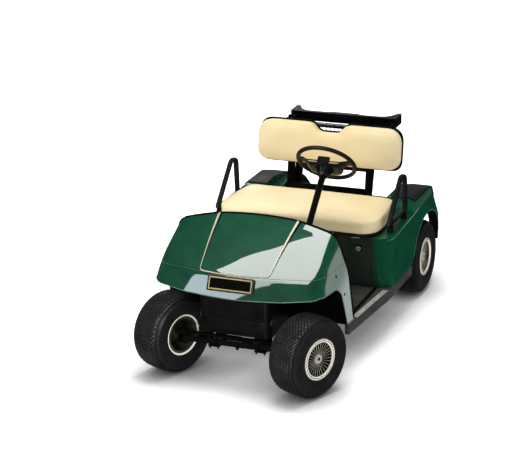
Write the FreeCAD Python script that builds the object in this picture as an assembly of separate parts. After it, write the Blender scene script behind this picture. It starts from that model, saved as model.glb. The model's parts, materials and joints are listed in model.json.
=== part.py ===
"""Two-seat golf cart: a green plastic body on a ladder frame, bench seat, bag rack and four turf wheels.

Every piece is laid out from the middle of the front axle, on the ground: +X is the driver's (left) side,
+Y points to the rear and +Z is up. place_in_row() moves the finished pieces so that the origin is the
bottom centre of the cart's box. Units are millimetres and degrees.
"""
import FreeCAD, Part
import math
import os

Vec = FreeCAD.Vector
X_AXIS = Vec(1, 0, 0)
Y_AXIS = Vec(0, 1, 0)
Z_AXIS = Vec(0, 0, 1)

# ---- driving dimensions ----
WHEELBASE = 1660.0
FRONT_TRACK = 864.0
REAR_TRACK = 968.0
REAR_OVERHANG = 505.0
BODY_WIDTH = 1180.0
FLOOR_Z = 287.0
SKIN = 5.0
TOUCH = 0.3
PIN_PLAY = 0.05

# wheels and steering
TYRE_DIAMETER = 457.0
TYRE_WIDTH = 206.0
TYRE_SHOULDER = 45.0
TYRE_WALL = 12.0
RIM_RADIUS = 101.0
RIM_HALF_WIDTH = 88.0
RIM_SHEET = 5.0
FLANGE_RADIUS = 114.0
HUB_RADIUS = 30.0
COVER_RADIUS = 119.0
COVER_FACE = 94.0
SPINDLE_RADIUS = 12.0
REAR_SHAFT_RADIUS = 16.0
HUB_INNER = 45.0
SHAFT_REACH = 48.0
KINGPIN_X = 330.0
KINGPIN_RADIUS = 10.0
STEER_ANGLE = -23.0
STEER_ARM = 55.0
ROD_RADIUS = 9.0
BEAM_HALF_DEPTH = 22.0
BEAM_BOTTOM = 207.0
BEAM_TOP = 245.0
BOSS_RADIUS = 20.0
BOSS_BOTTOM = 200.0
BOSS_TOP = 256.0
FORK_PLATE = 12.0

# frame
RAIL_INNER_X = 150.0
RAIL_WIDTH = 50.0
RAIL_DEPTH = 56.0
RAIL_FRONT_TOP = 372.0
RAIL_REAR_TOP = 338.0
REAR_SPRING_X = 240.0
REAR_SPRING_FRONT = WHEELBASE - 208.0
REAR_SPRING_BACK = WHEELBASE + 270.0
FRONT_SPRING_X = 117.0
FRONT_EYE_Y = 400.0
SPRING_WIDTH = 50.0
MOTOR_X = 72.0
MOTOR_LENGTH = 220.0
MOTOR_RADIUS = 70.0
TOW_HOLE_RADIUS = 8.0
PAN_THICKNESS = 22.0
RAIL_TOP = FLOOR_Z - PAN_THICKNESS
PAN_HALF_WIDTH = 512.0
FIREWALL_HALF_WIDTH = 470.0
MAT_HALF_WIDTH = 492.0
TOE_Y = 528.0
FIREWALL_Y = 334.0
FIREWALL_TOP = 700.0
TOE_TOP = 482.0
MAT_THICKNESS = 4.0
SILL_BOTTOM = 222.0
SILL_FRONT = 318.0
SILL_WALL = 8.0
STRIP_THICKNESS = 3.0

# front cowl
COWL_TOP_Y = 352.0
COWL_TOP_Z = 868.0
COWL_LIP_Z = 550.0
COWL_CREASE_Z = 650.0
COWL_SLOPE = 0.45
COWL_FOOT_Z = 290.0
NOSE_RAKE = 0.443
FASCIA_HALF_WIDTH = 214.0
FASCIA_Y = -66.0
FASCIA_WALL = 6.0
FASCIA_BOTTOM = 300.0
BADGE_WIDTH = 272.0
BADGE_HEIGHT = 88.0
BADGE_DEPTH = 12.0
DASH_HALF_WIDTH = 440.0
TRAY_WIDTH = 322.0

# rear body
POD_FRONT = WHEELBASE - 755.0
POD_TOP = 592.0
POD_CROWN = 668.0
TAIL_CORNER = 320.0
DECK_Y = WHEELBASE - 278.0
DECK_Z = 618.0
DECK_HALF_WIDTH = 400.0
POD_CORNER = 90.0
ARCH_RADIUS = 295.0
TAIL_BOTTOM = 362.0
PAD_THICKNESS = 7.0
WELL_HALF_WIDTH = 350.0
WELL_FRONT = WHEELBASE - 83.0
WELL_FLOOR_Z = 346.0
WELL_WALL = 6.0
APRON_HALF_WIDTH = 492.0

# seat
SEAT_HALF_WIDTH = 505.0
SEAT_REAR_HALF_WIDTH = 470.0
SEAT_FRONT = POD_FRONT - 20.0
SEAT_REAR = DECK_Y - 36.0
SEAT_TOP = 697.0
SEAT_BOARD = 19.0
HINGE_X = (-260.0, 260.0)
SEAT_HINGE_Y = SEAT_REAR + 8.0
SEAT_HINGE_Z = POD_TOP + 11.0
BACK_HALF_WIDTH = 466.0
BACK_BOTTOM = 827.0
BACK_TOP = 1091.0
BACK_FRONT_Y = WHEELBASE - 209.0
BACK_THICKNESS = 60.0
BACK_SHELL = 12.0
BACK_LEAN = 10.0
STRUT_X = 256.0
STRUT_WIDTH = 48.0
STRUT_THICKNESS = 10.0
CHANNEL_DEPTH = 16.5
CHANNEL_DROP = 130.0
HIP_INNER_X = BODY_WIDTH / 2 - 60.0
HIP_WIDTH = 30.0

# bag rack
RACK_HALF_WIDTH = 348.0
RACK_BOTTOM = 1012.0
RACK_TOP = 1071.0
RACK_FRONT_Y = WHEELBASE + 98.0
RACK_TIP_Y = RACK_FRONT_Y + 122.0
RACK_ARM_FRONT = RACK_FRONT_Y - 118.0
RACK_ARM_HEIGHT = 34.0
BASKET_WALL = 5.0
POST_INNER_X = 212.0

# steering wheel
WHEEL_CENTRE = Vec(230.0, 821.0, 1056.0)
COLUMN_ANGLE = 43.0
WHEEL_RIM_RADIUS = 168.0
WHEEL_GRIP_RADIUS = 12.5
DISH_HALF_WIDTH = 106.0
DISH_FRONT = -60.0
DISH_REAR = 80.0
DISH_DEPTH = 40.0
DISH_WALL = 10.0
HUB_DEPTH = 92.0
COLUMN_RADIUS = 19.0
BOOT_RADIUS = COLUMN_RADIUS + 12

# ---- sizes worked out from them ----
TYRE_RADIUS = TYRE_DIAMETER / 2
AXLE_Z = TYRE_RADIUS
HALF_BODY = BODY_WIDTH / 2
CLEAR_X = HALF_BODY + 110
FRONT_OFFSET = FRONT_TRACK / 2 - KINGPIN_X
REAR_WHEEL_X = REAR_TRACK / 2
REAR_END = WHEELBASE + REAR_OVERHANG
STEER_RAD = math.radians(abs(STEER_ANGLE))
FRONT_REACH = (FRONT_OFFSET * math.sin(STEER_RAD)
               + (TYRE_WIDTH / 2 - TYRE_SHOULDER) * math.sin(STEER_RAD)
               + (TYRE_RADIUS - TYRE_SHOULDER) * math.cos(STEER_RAD)
               + TYRE_SHOULDER)
ROW_SHIFT = Vec(0, -(REAR_END - FRONT_REACH) / 2, 0)
COLUMN_DIR = Vec(0, math.cos(math.radians(COLUMN_ANGLE)), math.sin(math.radians(COLUMN_ANGLE)))
TOE_LEAN = math.degrees(math.atan2(TOE_Y - FIREWALL_Y, TOE_TOP - FLOOR_Z))

# front edge, length and top of each cross member
CROSS_MEMBERS = [(FASCIA_Y + 10, 50, RAIL_FRONT_TOP), (420, 60, RAIL_TOP), (POD_FRONT - 45, 60, RAIL_TOP),
                 (SEAT_REAR - 76, 60, RAIL_TOP), (REAR_END - 135, 60, RAIL_REAR_TOP)]
# a hip restraint's edges: distance behind the rear body's front, height above its top, corner radius
HIP_OUTER = [(80, 42, 14), (338, 284, 40), (423, 260, 26), (435, 42, 14)]
HIP_WINDOW = [(157, 76, 8), (333, 236, 10), (387, 221, 10), (400, 76, 8)]
# front and rear edge of a restraint's two feet, behind the rear body's front
HIP_FEET = [(110, 160), (370, 420)]


# ---- shape helpers ----
def corner_arc(before, corner, after, radius):
    """Start, middle and end of the arc that rounds a corner between two straight sides."""
    to_before = (before - corner).normalize()
    to_after = (after - corner).normalize()
    half = to_before.getAngle(to_after) / 2
    reach = radius / math.tan(half)
    bisector = (to_before + to_after).normalize()
    centre = corner + bisector * (radius / math.sin(half))
    return corner + to_before * reach, centre - bisector * radius, corner + to_after * reach


def outline(points, plane):
    """Closed wire through (a, b, corner radius) points; plane turns (a, b) into a vector."""
    corners = [plane(a, b) for a, b, _ in points]
    count = len(points)
    edges = []
    ends = []
    for i, (_, _, radius) in enumerate(points):
        if radius > 0:
            start, middle, end = corner_arc(corners[i - 1], corners[i], corners[(i + 1) % count], radius)
            edges.append(Part.Arc(start, middle, end).toShape())
            ends.append((start, end))
        else:
            ends.append((corners[i], corners[i]))
    for i in range(count):
        start = ends[i][1]
        end = ends[(i + 1) % count][0]
        if start.distanceToPoint(end) > 1e-6:
            edges.append(Part.makeLine(start, end))
    return Part.Wire(Part.__sortEdges__(edges))


PLANES = {
    "x": (lambda a, b: Vec(0, a, b), X_AXIS),
    "y": (lambda a, b: Vec(a, 0, b), Y_AXIS),
    "z": (lambda a, b: Vec(a, b, 0), Z_AXIS),
}


def prism(axis, points, low, high, inset=0.0):
    """Outline of (a, b, radius) points, shrunk by the inset and pushed along an axis."""
    plane, direction = PLANES[axis]
    face = Part.Face(outline(points, plane))
    if inset:
        face = Part.Face(face.OuterWire.makeOffset2D(-inset))
    face.translate(direction * low)
    return face.extrude(direction * (high - low))


def sharp(points):
    """Adds a zero corner radius to each (a, b) point."""
    return [(a, b, 0) for a, b in points]


def box(x0, x1, y0, y1, z0, z1):
    """Box between two corners."""
    return Part.makeBox(x1 - x0, y1 - y0, z1 - z0, Vec(x0, y0, z0))


def rod(start, end, radius):
    """Round bar between two points."""
    line = end - start
    return Part.makeCylinder(radius, line.Length, start, line)


def both_sides(points):
    """Right half of an outline, given from the middle outwards, with its mirror image."""
    mirrored = [(-a, b, r) for a, b, r in reversed(points) if a > 0]
    return points + mirrored


def mirrored(shape):
    """Copy of a shape on the other side of the cart."""
    return shape.mirror(Vec(0, 0, 0), X_AXIS)


def pair(shape):
    """A left-hand shape and its right-hand mirror image."""
    return [shape, mirrored(shape)]


def fuse(shapes):
    """One solid from shapes that touch or overlap."""
    return shapes[0].fuse(shapes[1:]).removeSplitter()


def cut(shape, tools):
    """Shape with every tool taken away."""
    return shape.cut(tools)


def revolve_x(points):
    """Ring or disc turned about the X axis from an (x, radius, corner radius) outline."""
    face = Part.Face(outline(points, lambda a, b: Vec(a, 0, b)))
    return face.revolve(Vec(0, 0, 0), X_AXIS, 360)


def leaned(shape, angle, y, z):
    """Shape tipped backwards about a crossways line."""
    shape.rotate(Vec(0, y, z), X_AXIS, -angle)
    return shape


# ---- frame and floor ----
def chassis_frame():
    """Ladder frame: two cranked rails joined by cross members."""
    nose = FASCIA_Y + 30
    tail = REAR_END - 75
    kick_up = SEAT_REAR + 4
    upper = [(nose, RAIL_FRONT_TOP), (215, RAIL_FRONT_TOP), (300, RAIL_TOP), (kick_up, RAIL_TOP),
             (kick_up + 90, RAIL_REAR_TOP), (tail, RAIL_REAR_TOP)]
    lower = [(nose, RAIL_FRONT_TOP), (192, RAIL_FRONT_TOP), (277, RAIL_TOP), (kick_up + 23, RAIL_TOP),
             (kick_up + 113, RAIL_REAR_TOP), (tail, RAIL_REAR_TOP)]
    side_view = upper + [(y, z - RAIL_DEPTH) for y, z in reversed(lower)]
    rail = prism("x", sharp(side_view), RAIL_INNER_X, RAIL_INNER_X + RAIL_WIDTH)
    members = [box(-RAIL_INNER_X, RAIL_INNER_X, y, y + length, top - RAIL_DEPTH, top)
               for y, length, top in CROSS_MEMBERS]
    return fuse(pair(rail) + members)


def floor_pan():
    """Flat footwell floor that turns up into the toe board and the firewall."""
    rise = PAN_THICKNESS * math.tan(math.radians(22.5))
    section = sharp([
        (SEAT_REAR, FLOOR_Z), (TOE_Y, FLOOR_Z), (FIREWALL_Y, TOE_TOP), (FIREWALL_Y, FIREWALL_TOP),
        (FIREWALL_Y - SKIN, FIREWALL_TOP), (FIREWALL_Y - SKIN, TOE_TOP - rise),
        (TOE_Y - rise, FLOOR_Z - PAN_THICKNESS), (SEAT_REAR, FLOOR_Z - PAN_THICKNESS)])
    pan = prism("x", section, -PAN_HALF_WIDTH, PAN_HALF_WIDTH)
    narrow_top = [box(x, x + 200, 200, FIREWALL_Y + 1, COWL_FOOT_Z + 260, FIREWALL_TOP + 1)
                  for x in (-200 - FIREWALL_HALF_WIDTH, FIREWALL_HALF_WIDTH)]
    return cut(pan, narrow_top)


def floor_mat():
    """Rubber mat on the footwell floor and toe board."""
    slope = MAT_THICKNESS * math.tan(math.radians(22.5))
    top = (FIREWALL_Y + 40, TOE_TOP - 40)
    section = sharp([
        (POD_FRONT - 8, FLOOR_Z), (TOE_Y, FLOOR_Z), top,
        (top[0] + MAT_THICKNESS * 0.7071, top[1] + MAT_THICKNESS * 0.7071),
        (TOE_Y + slope, FLOOR_Z + MAT_THICKNESS), (POD_FRONT - 8, FLOOR_Z + MAT_THICKNESS)])
    return prism("x", section, -MAT_HALF_WIDTH, MAT_HALF_WIDTH)


def sill_outline(inset):
    """Plan of the left sill: it widens from the cowl's foot to the rear body."""
    outer = HALF_BODY - 2 - inset
    return sharp([
        (PAN_HALF_WIDTH, SILL_FRONT + inset), (538 - inset, SILL_FRONT + inset), (542 - inset, 400),
        (outer, POD_FRONT - 25), (outer, SEAT_REAR - inset), (PAN_HALF_WIDTH, SEAT_REAR - inset)])


def sill_panels():
    """Two sill covers, each an outer skin and a top ledge."""
    solid = prism("z", sill_outline(0), SILL_BOTTOM, FLOOR_Z)
    hollow = prism("z", sill_outline(SILL_WALL), SILL_BOTTOM - 1, FLOOR_Z - SILL_WALL)
    return pair(cut(solid, [hollow]))


def step_strips():
    """Bright tread strips along the outer edge of the two door openings."""
    outer = HALF_BODY - 5
    plan = sharp([(518, 430), (550, 430), (outer, POD_FRONT - 27), (outer - 32, POD_FRONT - 27)])
    return pair(prism("z", plan, FLOOR_Z, FLOOR_Z + STRIP_THICKNESS))


# ---- front cowl ----
def cowl_solid(inset):
    """Closed cowl volume: where the side, front and plan outlines meet, shrunk by the inset."""
    side_view = [(COWL_TOP_Y + 80, COWL_TOP_Z + 30, 0), (COWL_TOP_Y, COWL_TOP_Z, 0), (150, 781, 900),
                 (-30, 690, 400), (-78, COWL_CREASE_Z, 10), (-124, 546, 0), (-190, 190, 0),
                 (COWL_TOP_Y + 80, 190, 0)]
    plan = [(545, 700, 0), (545, -28, 90), (0, -150, 1200), (-545, -28, 90), (-545, 700, 0)]
    front_view = both_sides([
        (250, 868, 1200), (468, 832, 45), (488, 775, 0), (496, 730, 0), (528, 600, 0), (544, 100, 0)])
    drop = Vec(0, -640, -640 * COWL_SLOPE)
    face = Part.Face(outline(front_view, PLANES["y"][0]))
    if inset:
        face = Part.Face(face.OuterWire.makeOffset2D(-inset))
    face.translate(Vec(0, COWL_TOP_Y + 100, 100 * COWL_SLOPE))
    solid = face.extrude(drop)
    solid = solid.common(prism("x", side_view, -600, 600, inset))
    return solid.common(raked(plan, COWL_LIP_Z, NOSE_RAKE, inset))


def raked(plan, level, rake, inset):
    """Plan outline that holds at one level and moves back by the rake for each millimetre above it."""
    face = Part.Face(outline(plan, PLANES["z"][0]))
    if inset:
        face = Part.Face(face.OuterWire.makeOffset2D(-inset))
    face.translate(Vec(0, -rake * level, 0))
    return face.extrude(Vec(0, rake * 1000, 1000))


def front_cowl():
    """Green nose shell with its hood, nose and two side legs; the wheel arches are open."""
    shell = cut(cowl_solid(0), [cowl_solid(SKIN)])
    below_lip = prism("x", [
        (-400, 0, 0), (-400, COWL_LIP_Z - 16, 0), (-110, COWL_LIP_Z - 16, 0), (-20, COWL_LIP_Z + 4, 0),
        (168, COWL_LIP_Z, 60), (224, 500, 80), (300, COWL_FOOT_Z, 0),
        (300, 0, 0)], -700, 700)
    behind = prism("x", sharp([(306, 815), (401, COWL_FOOT_Z), (401, 0), (700, 0), (700, 815)]), -700, 700)
    below_foot = box(-700, 700, -400, 700, 0, COWL_FOOT_Z)
    plan_rear = [(-700, 250, 0), (-520, 250, 0), (-470, 306, 0), (0, 398, 2400), (470, 306, 0),
                 (520, 250, 0), (700, 250, 0), (700, 700, 0), (-700, 700, 0)]
    rear_edge = prism("z", plan_rear, 814, 1200)
    return cut(shell, [below_lip, behind, below_foot, rear_edge])


def badge_plate():
    """Blank name plate on the sloping nose, a slab whose back follows the nose."""
    lean = math.atan2(124 - 78, COWL_CREASE_Z - 546)
    plate = prism("y", [(-BADGE_WIDTH / 2, 0, 6), (BADGE_WIDTH / 2, 0, 6),
                        (BADGE_WIDTH / 2, BADGE_HEIGHT, 6), (-BADGE_WIDTH / 2, BADGE_HEIGHT, 6)],
                  -BADGE_DEPTH, 0)
    plate.rotate(Vec(0, 0, 0), X_AXIS, -math.degrees(lean))
    plate.translate(Vec(0, -75 - (COWL_CREASE_Z - 568) * math.tan(lean), 568))
    return cut(plate, [cowl_solid(0)])


def front_fascia():
    """Black front shield below the nose, with a recessed panel and two side walls."""
    plan = [(FASCIA_HALF_WIDTH, 306, 0), (FASCIA_HALF_WIDTH, FASCIA_Y, 40),
            (-FASCIA_HALF_WIDTH, FASCIA_Y, 40), (-FASCIA_HALF_WIDTH, 306, 0)]
    inner = [(FASCIA_HALF_WIDTH - FASCIA_WALL, 400, 0), (FASCIA_HALF_WIDTH - FASCIA_WALL, FASCIA_Y + 10, 34),
             (-FASCIA_HALF_WIDTH + FASCIA_WALL, FASCIA_Y + 10, 34),
             (-FASCIA_HALF_WIDTH + FASCIA_WALL, 400, 0)]
    shell = cut(prism("z", plan, FASCIA_BOTTOM, COWL_LIP_Z - 2), [prism("z", inner, 0, 900)])
    recess = prism("y", [(-182, 312, 14), (182, 312, 14), (182, 402, 14), (-182, 402, 14)],
                   FASCIA_Y - 1, FASCIA_Y + 4)
    return cut(shell, [recess])


def splash_guards():
    """Two plates behind the front wheels, between the fascia and the cowl's legs."""
    plate = box(FASCIA_HALF_WIDTH + TOUCH, 560, 300, 306, COWL_FOOT_Z, COWL_LIP_Z + 40)
    return pair(plate.common(cowl_solid(SKIN + TOUCH)))


def instrument_panel():
    """Dash under the cowl's rear edge with two open trays and two cup wells."""
    section = [(FIREWALL_Y - 30, FIREWALL_TOP, 0), (432, FIREWALL_TOP, 16), (432, 742, 10),
               (368, 808, 10), (FIREWALL_Y - 30, 808, 0)]
    body = prism("x", section, -DASH_HALF_WIDTH, DASH_HALF_WIDTH)
    trays = [box(x, x + TRAY_WIDTH, 352, 500, 734, 792) for x in (-DASH_HALF_WIDTH + 22, 96)]
    cups = [Part.makeCylinder(36, 120, Vec(x, 392, 716), Z_AXIS) for x in (-44, 44)]
    column_notch = rod(column_point(-800), column_point(-300), COLUMN_RADIUS + 6)
    boot_notch = rod(*boot_ends(6), BOOT_RADIUS + 6)
    return cut(body, trays + cups + [column_notch, boot_notch])


# ---- rear body ----
def pod_solid(inset):
    """Closed rear body volume: side, front and plan outlines with chamfered tail corners."""
    side_view = [(POD_FRONT, 150, 0), (POD_FRONT, POD_TOP, 0), (DECK_Y - 14, POD_TOP, 0),
                 (DECK_Y, DECK_Z, 0), (WHEELBASE - 190, POD_CROWN - 4, 120), (WHEELBASE - 60, POD_CROWN, 300),
                 (WHEELBASE + 140, POD_CROWN - 32, 500), (WHEELBASE + 330, 580, 300),
                 (REAR_END - 55, 480, 160), (REAR_END, 350, 0), (REAR_END, 150, 0)]
    front_view = both_sides([(HALF_BODY, 150, 0), (HALF_BODY, 608, 30), (HALF_BODY - 45, 655, 60),
                             (HALF_BODY - 110, POD_CROWN, 0)])
    plan = [(HALF_BODY, POD_FRONT, POD_CORNER), (HALF_BODY, REAR_END, TAIL_CORNER),
            (-HALF_BODY, REAR_END, TAIL_CORNER), (-HALF_BODY, POD_FRONT, POD_CORNER)]
    solid = prism("x", side_view, -CLEAR_X, CLEAR_X, inset)
    solid = solid.common(prism("y", front_view, 0, 3000, inset))
    solid = solid.common(prism("z", plan, 0, 1000, inset))
    return cut(solid, pair(tail_chamfer(inset)))


def tail_chamfer(inset):
    """Block beyond the slanting plane that takes the left rear fender down to the tail."""
    on_plane = [Vec(HALF_BODY, WHEELBASE + 80, 625), Vec(HALF_BODY, WHEELBASE + 240, 420),
                Vec(HALF_BODY - 90, WHEELBASE + 385, 540)]
    normal = (on_plane[1] - on_plane[0]).cross(on_plane[2] - on_plane[0]).normalize()
    base = on_plane[0] - normal * inset
    across = (on_plane[1] - on_plane[0]).normalize()
    other = normal.cross(across)
    corners = [base + across * a + other * b
               for a, b in ((-900, -900), (900, -900), (900, 900), (-900, 900))]
    return Part.Face(Part.makePolygon(corners + corners[:1])).extrude(normal * 600)


def deck_recess(grow):
    """The lower deck between the two rear fenders, behind the seat."""
    half = DECK_HALF_WIDTH + grow
    return box(-half, half, DECK_Y - grow, REAR_END + 50, DECK_Z - grow, 900)


def wheel_arch(side):
    """Opening over one rear wheel, with a straighter front edge."""
    low, high = sorted((side * (WELL_HALF_WIDTH + 8), side * CLEAR_X))
    arch = Part.makeCylinder(ARCH_RADIUS, high - low, Vec(low, WHEELBASE, AXLE_Z), X_AXIS)
    edge = WHEELBASE - ARCH_RADIUS - 23
    front = prism("x", sharp([(edge, 100), (edge, FLOOR_Z + 1), (edge + 60, 366), (edge + 158, 300),
                              (edge + 158, 100)]), low, high)
    return [arch, front]


def rear_body():
    """Green rear shell: side panels, fenders and deck, open for seat, bag well and wheels."""
    outer = cut(pod_solid(0), [deck_recess(0)])
    inner = cut(pod_solid(SKIN), [deck_recess(SKIN)])
    shell = cut(outer, [inner])
    openings = [
        box(-APRON_HALF_WIDTH, APRON_HALF_WIDTH, POD_FRONT - 20, POD_FRONT + SKIN, 0, POD_TOP),
        box(-460, 460, POD_FRONT + 30, POD_FRONT + 420, POD_TOP - 60, POD_TOP + 10),
        box(-WELL_HALF_WIDTH, WELL_HALF_WIDTH, WELL_FRONT, REAR_END + 50, 0, 900),
        box(-CLEAR_X, CLEAR_X, POD_FRONT - 100, SEAT_REAR, 0, FLOOR_Z),
        box(-CLEAR_X, CLEAR_X, SEAT_REAR, REAR_END + 50, 0, FLOOR_Z + 1),
        box(-CLEAR_X, CLEAR_X, WHEELBASE + 240, REAR_END + 50, 0, TAIL_BOTTOM)]
    return cut(shell, openings + wheel_arch(1) + wheel_arch(-1))


def seat_apron():
    """Black panel below the seat front, with the recess of the key switch."""
    panel = box(-APRON_HALF_WIDTH, APRON_HALF_WIDTH, POD_FRONT, POD_FRONT + SKIN, FLOOR_Z, POD_TOP)
    recess = box(347, 443, POD_FRONT - 1, POD_FRONT + 2, 481, 585)
    return cut(panel, [recess])


def switch_panel():
    """Key switch and direction rocker on a small plate in the apron's recess."""
    plate = box(347.5, 442.5, POD_FRONT - 4, POD_FRONT + 2, 481.5, 584.5)
    key = rod(Vec(399, POD_FRONT - 4, 526), Vec(399, POD_FRONT - 16, 526), 11)
    rocker = box(362, 378, POD_FRONT - 12, POD_FRONT - 4, 510, 542)
    return fuse([plate, key, rocker])


def fender_pads():
    """Scuff pads that follow the top of the two rear fenders."""
    skin = cut(pod_solid(-PAD_THICKNESS), [pod_solid(0)])
    view = sharp([(WHEELBASE - 160, 626), (WHEELBASE - 220, 720), (WHEELBASE + 350, 720),
                  (WHEELBASE + 380, 560), (WHEELBASE + 40, 560)])
    region = prism("x", view, DECK_HALF_WIDTH + 6, HALF_BODY - 30)
    return pair(skin.common(region))


def bagwell():
    """Black tray behind the seat where the bags stand: floor, front wall, side walls and front flange."""
    low = WELL_FLOOR_Z - WELL_WALL
    half = WELL_HALF_WIDTH - TOUCH
    front = WELL_FRONT + TOUCH
    tray = cut(box(-half, half, front, REAR_END - 22, low, DECK_Z), [
        box(-half + WELL_WALL, half - WELL_WALL, front + WELL_WALL, REAR_END, WELL_FLOOR_Z, 900)])
    tray = tray.common(prism("x", sharp([
        (front, low), (front, DECK_Z), (WHEELBASE + 140, DECK_Z + 2), (WHEELBASE + 320, 566),
        (WHEELBASE + 400, 500), (REAR_END, 380), (REAR_END, low)]), -half, half))
    flange = box(-half, half, WELL_FRONT - 90, front + WELL_WALL, DECK_Z, DECK_Z + 4)
    return fuse([tray, flange])


def rear_bumper():
    """Bar across the tail with two frame brackets and a tow tongue with its pin hole."""
    bar = box(-380, 380, REAR_END - 20, REAR_END, 274, 338)
    brackets = [box(x, x + RAIL_WIDTH, REAR_END - 75, REAR_END - 20, RAIL_REAR_TOP - RAIL_DEPTH + 4,
                    RAIL_REAR_TOP - 8) for x in (-RAIL_INNER_X - RAIL_WIDTH, RAIL_INNER_X)]
    tongue = box(-30, 30, REAR_END - 60, REAR_END - 20, 274, 282)
    bumper = fuse([bar, tongue] + brackets)
    return cut(bumper, [Part.makeCylinder(TOW_HOLE_RADIUS, 20, Vec(0, REAR_END - 42, 268), Z_AXIS)])


# ---- seat ----
def seat_plan(inset):
    """Plan outline of the bench: wide at the front, narrower at the back."""
    front = SEAT_HALF_WIDTH - inset
    rear = SEAT_REAR_HALF_WIDTH - inset
    waist = SEAT_FRONT + 205
    return [(front, SEAT_FRONT + inset, 105), (front, waist, 300), (rear, SEAT_REAR - inset, 30),
            (-rear, SEAT_REAR - inset, 30), (-front, waist, 300), (-front, SEAT_FRONT + inset, 105)]


def seat_cushion():
    """Bench cushion."""
    return prism("z", seat_plan(0), POD_TOP + SEAT_BOARD + TOUCH, SEAT_TOP)


def seat_base():
    """Seat board with two hinge leaves whose knuckles turn on the body's hinge pins."""
    board = prism("z", seat_plan(12), POD_TOP + TOUCH, POD_TOP + SEAT_BOARD)
    leaves = []
    for x in HINGE_X:
        leaf = box(x - 22, x + 22, SEAT_REAR - 40, SEAT_HINGE_Y, SEAT_HINGE_Z - 2, SEAT_HINGE_Z + 2)
        knuckle = rod(Vec(x - 22, SEAT_HINGE_Y, SEAT_HINGE_Z), Vec(x + 22, SEAT_HINGE_Y, SEAT_HINGE_Z), 7)
        leaves += [leaf, knuckle]
    bores = [rod(Vec(x - 30, SEAT_HINGE_Y, SEAT_HINGE_Z), Vec(x + 30, SEAT_HINGE_Y, SEAT_HINGE_Z),
                 4 + PIN_PLAY) for x in HINGE_X]
    return cut(fuse([board] + leaves), bores)


def seat_hinge_pins():
    """Fixed half of the two seat hinges: a pin between two ears that stand on the body."""
    hinges = []
    for x in HINGE_X:
        pin = rod(Vec(x - 30, SEAT_HINGE_Y, SEAT_HINGE_Z), Vec(x + 30, SEAT_HINGE_Y, SEAT_HINGE_Z), 4)
        ears = [box(low, low + 6, SEAT_HINGE_Y - 7, SEAT_HINGE_Y + 5, POD_TOP, SEAT_HINGE_Z + 7)
                for low in (x - 29, x + 23)]
        hinges.append(cut(fuse([pin] + ears), [pod_solid(0)]))
    return hinges


def back_outline(grow):
    """Front view of the seat back, with rounded ends and a dip in the middle of the top edge."""
    half = BACK_HALF_WIDTH + grow
    top = BACK_TOP + grow
    return [(half, BACK_BOTTOM - grow, 70), (half, top, 88), (112, top, 60), (62, top - 55, 40),
            (-62, top - 55, 40), (-112, top, 60), (-half, top, 88), (-half, BACK_BOTTOM - grow, 70)]


def seat_back_cushion():
    """Padded back rest."""
    pad = prism("y", back_outline(-3), BACK_FRONT_Y, BACK_FRONT_Y + BACK_THICKNESS)
    return leaned(pad, BACK_LEAN, BACK_FRONT_Y, BACK_BOTTOM)


def seat_back_shell():
    """Hard shell behind the back rest."""
    rear = BACK_FRONT_Y + BACK_THICKNESS
    return leaned(prism("y", back_outline(0), rear + TOUCH, rear + BACK_SHELL), BACK_LEAN, BACK_FRONT_Y,
                  BACK_BOTTOM)


def seat_back_struts():
    """Two flat uprights that carry the seat back, on a cross channel bolted to the deck."""
    rear = BACK_FRONT_Y + BACK_THICKNESS + BACK_SHELL
    strut = box(STRUT_X - STRUT_WIDTH / 2, STRUT_X + STRUT_WIDTH / 2, rear, rear + STRUT_THICKNESS,
                BACK_BOTTOM - 230, BACK_BOTTOM + 160)
    half = STRUT_X + STRUT_WIDTH / 2
    channel = box(-half, half, rear - CHANNEL_DEPTH, rear, BACK_BOTTOM - 230, BACK_BOTTOM - CHANNEL_DROP)
    for piece in (strut, channel):
        leaned(piece, BACK_LEAN, BACK_FRONT_Y, BACK_BOTTOM)
    front = BACK_FRONT_Y + 19
    feet = [box(x - 24, x + 24, front, front + 50, DECK_Z, DECK_Z + 6) for x in (-STRUT_X, STRUT_X)]
    deck = box(-600, 600, DECK_Y, WHEELBASE, 0, DECK_Z)
    flange = box(-600, 600, WELL_FRONT - 91, WHEELBASE, 0, DECK_Z + 4)
    return cut(fuse(pair(strut) + [channel] + feet), [deck, flange])


def hip_restraints():
    """Padded triangular loops on two feet each, at both ends of the bench."""
    low, high = HIP_INNER_X, HIP_INNER_X + HIP_WIDTH
    outer, window = ([(POD_FRONT + y, POD_TOP + z, radius) for y, z, radius in table]
                     for table in (HIP_OUTER, HIP_WINDOW))
    loop = cut(prism("x", outer, low, high), [prism("x", window, low - 1, high + 1)])
    feet = [box(low + 8, high - 8, POD_FRONT + front, POD_FRONT + rear, POD_TOP, outer[0][1])
            for front, rear in HIP_FEET]
    return pair(fuse([loop] + feet))


# ---- bag rack ----
def bag_rack_posts():
    """Two raked posts from the bag well's front flange up to the rack."""
    foot = DECK_Z + 4
    post = prism("x", sharp([(WELL_FRONT - 28, foot), (WELL_FRONT - 4, foot),
                             (RACK_FRONT_Y - 68, RACK_BOTTOM), (RACK_FRONT_Y - 96, RACK_BOTTOM)]),
                 POST_INNER_X, POST_INNER_X + 44)
    tie = box(-POST_INNER_X, POST_INNER_X, WELL_FRONT + 27, WELL_FRONT + 39, 760, 790)
    return fuse(pair(post) + [tie])


def rack_rear_edge():
    """Right-to-left rear edge of the rack with a hollow for each bag."""
    hollow = RACK_FRONT_Y + 28
    middle = RACK_FRONT_Y + 42
    return [(RACK_HALF_WIDTH, RACK_TIP_Y, 6), (RACK_HALF_WIDTH - 22, RACK_TIP_Y, 6), (275, hollow, 90),
            (115, hollow, 60), (80, middle, 20), (-80, middle, 20), (-115, hollow, 60), (-275, hollow, 90),
            (-RACK_HALF_WIDTH + 22, RACK_TIP_Y, 6), (-RACK_HALF_WIDTH, RACK_TIP_Y, 6)]


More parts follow.
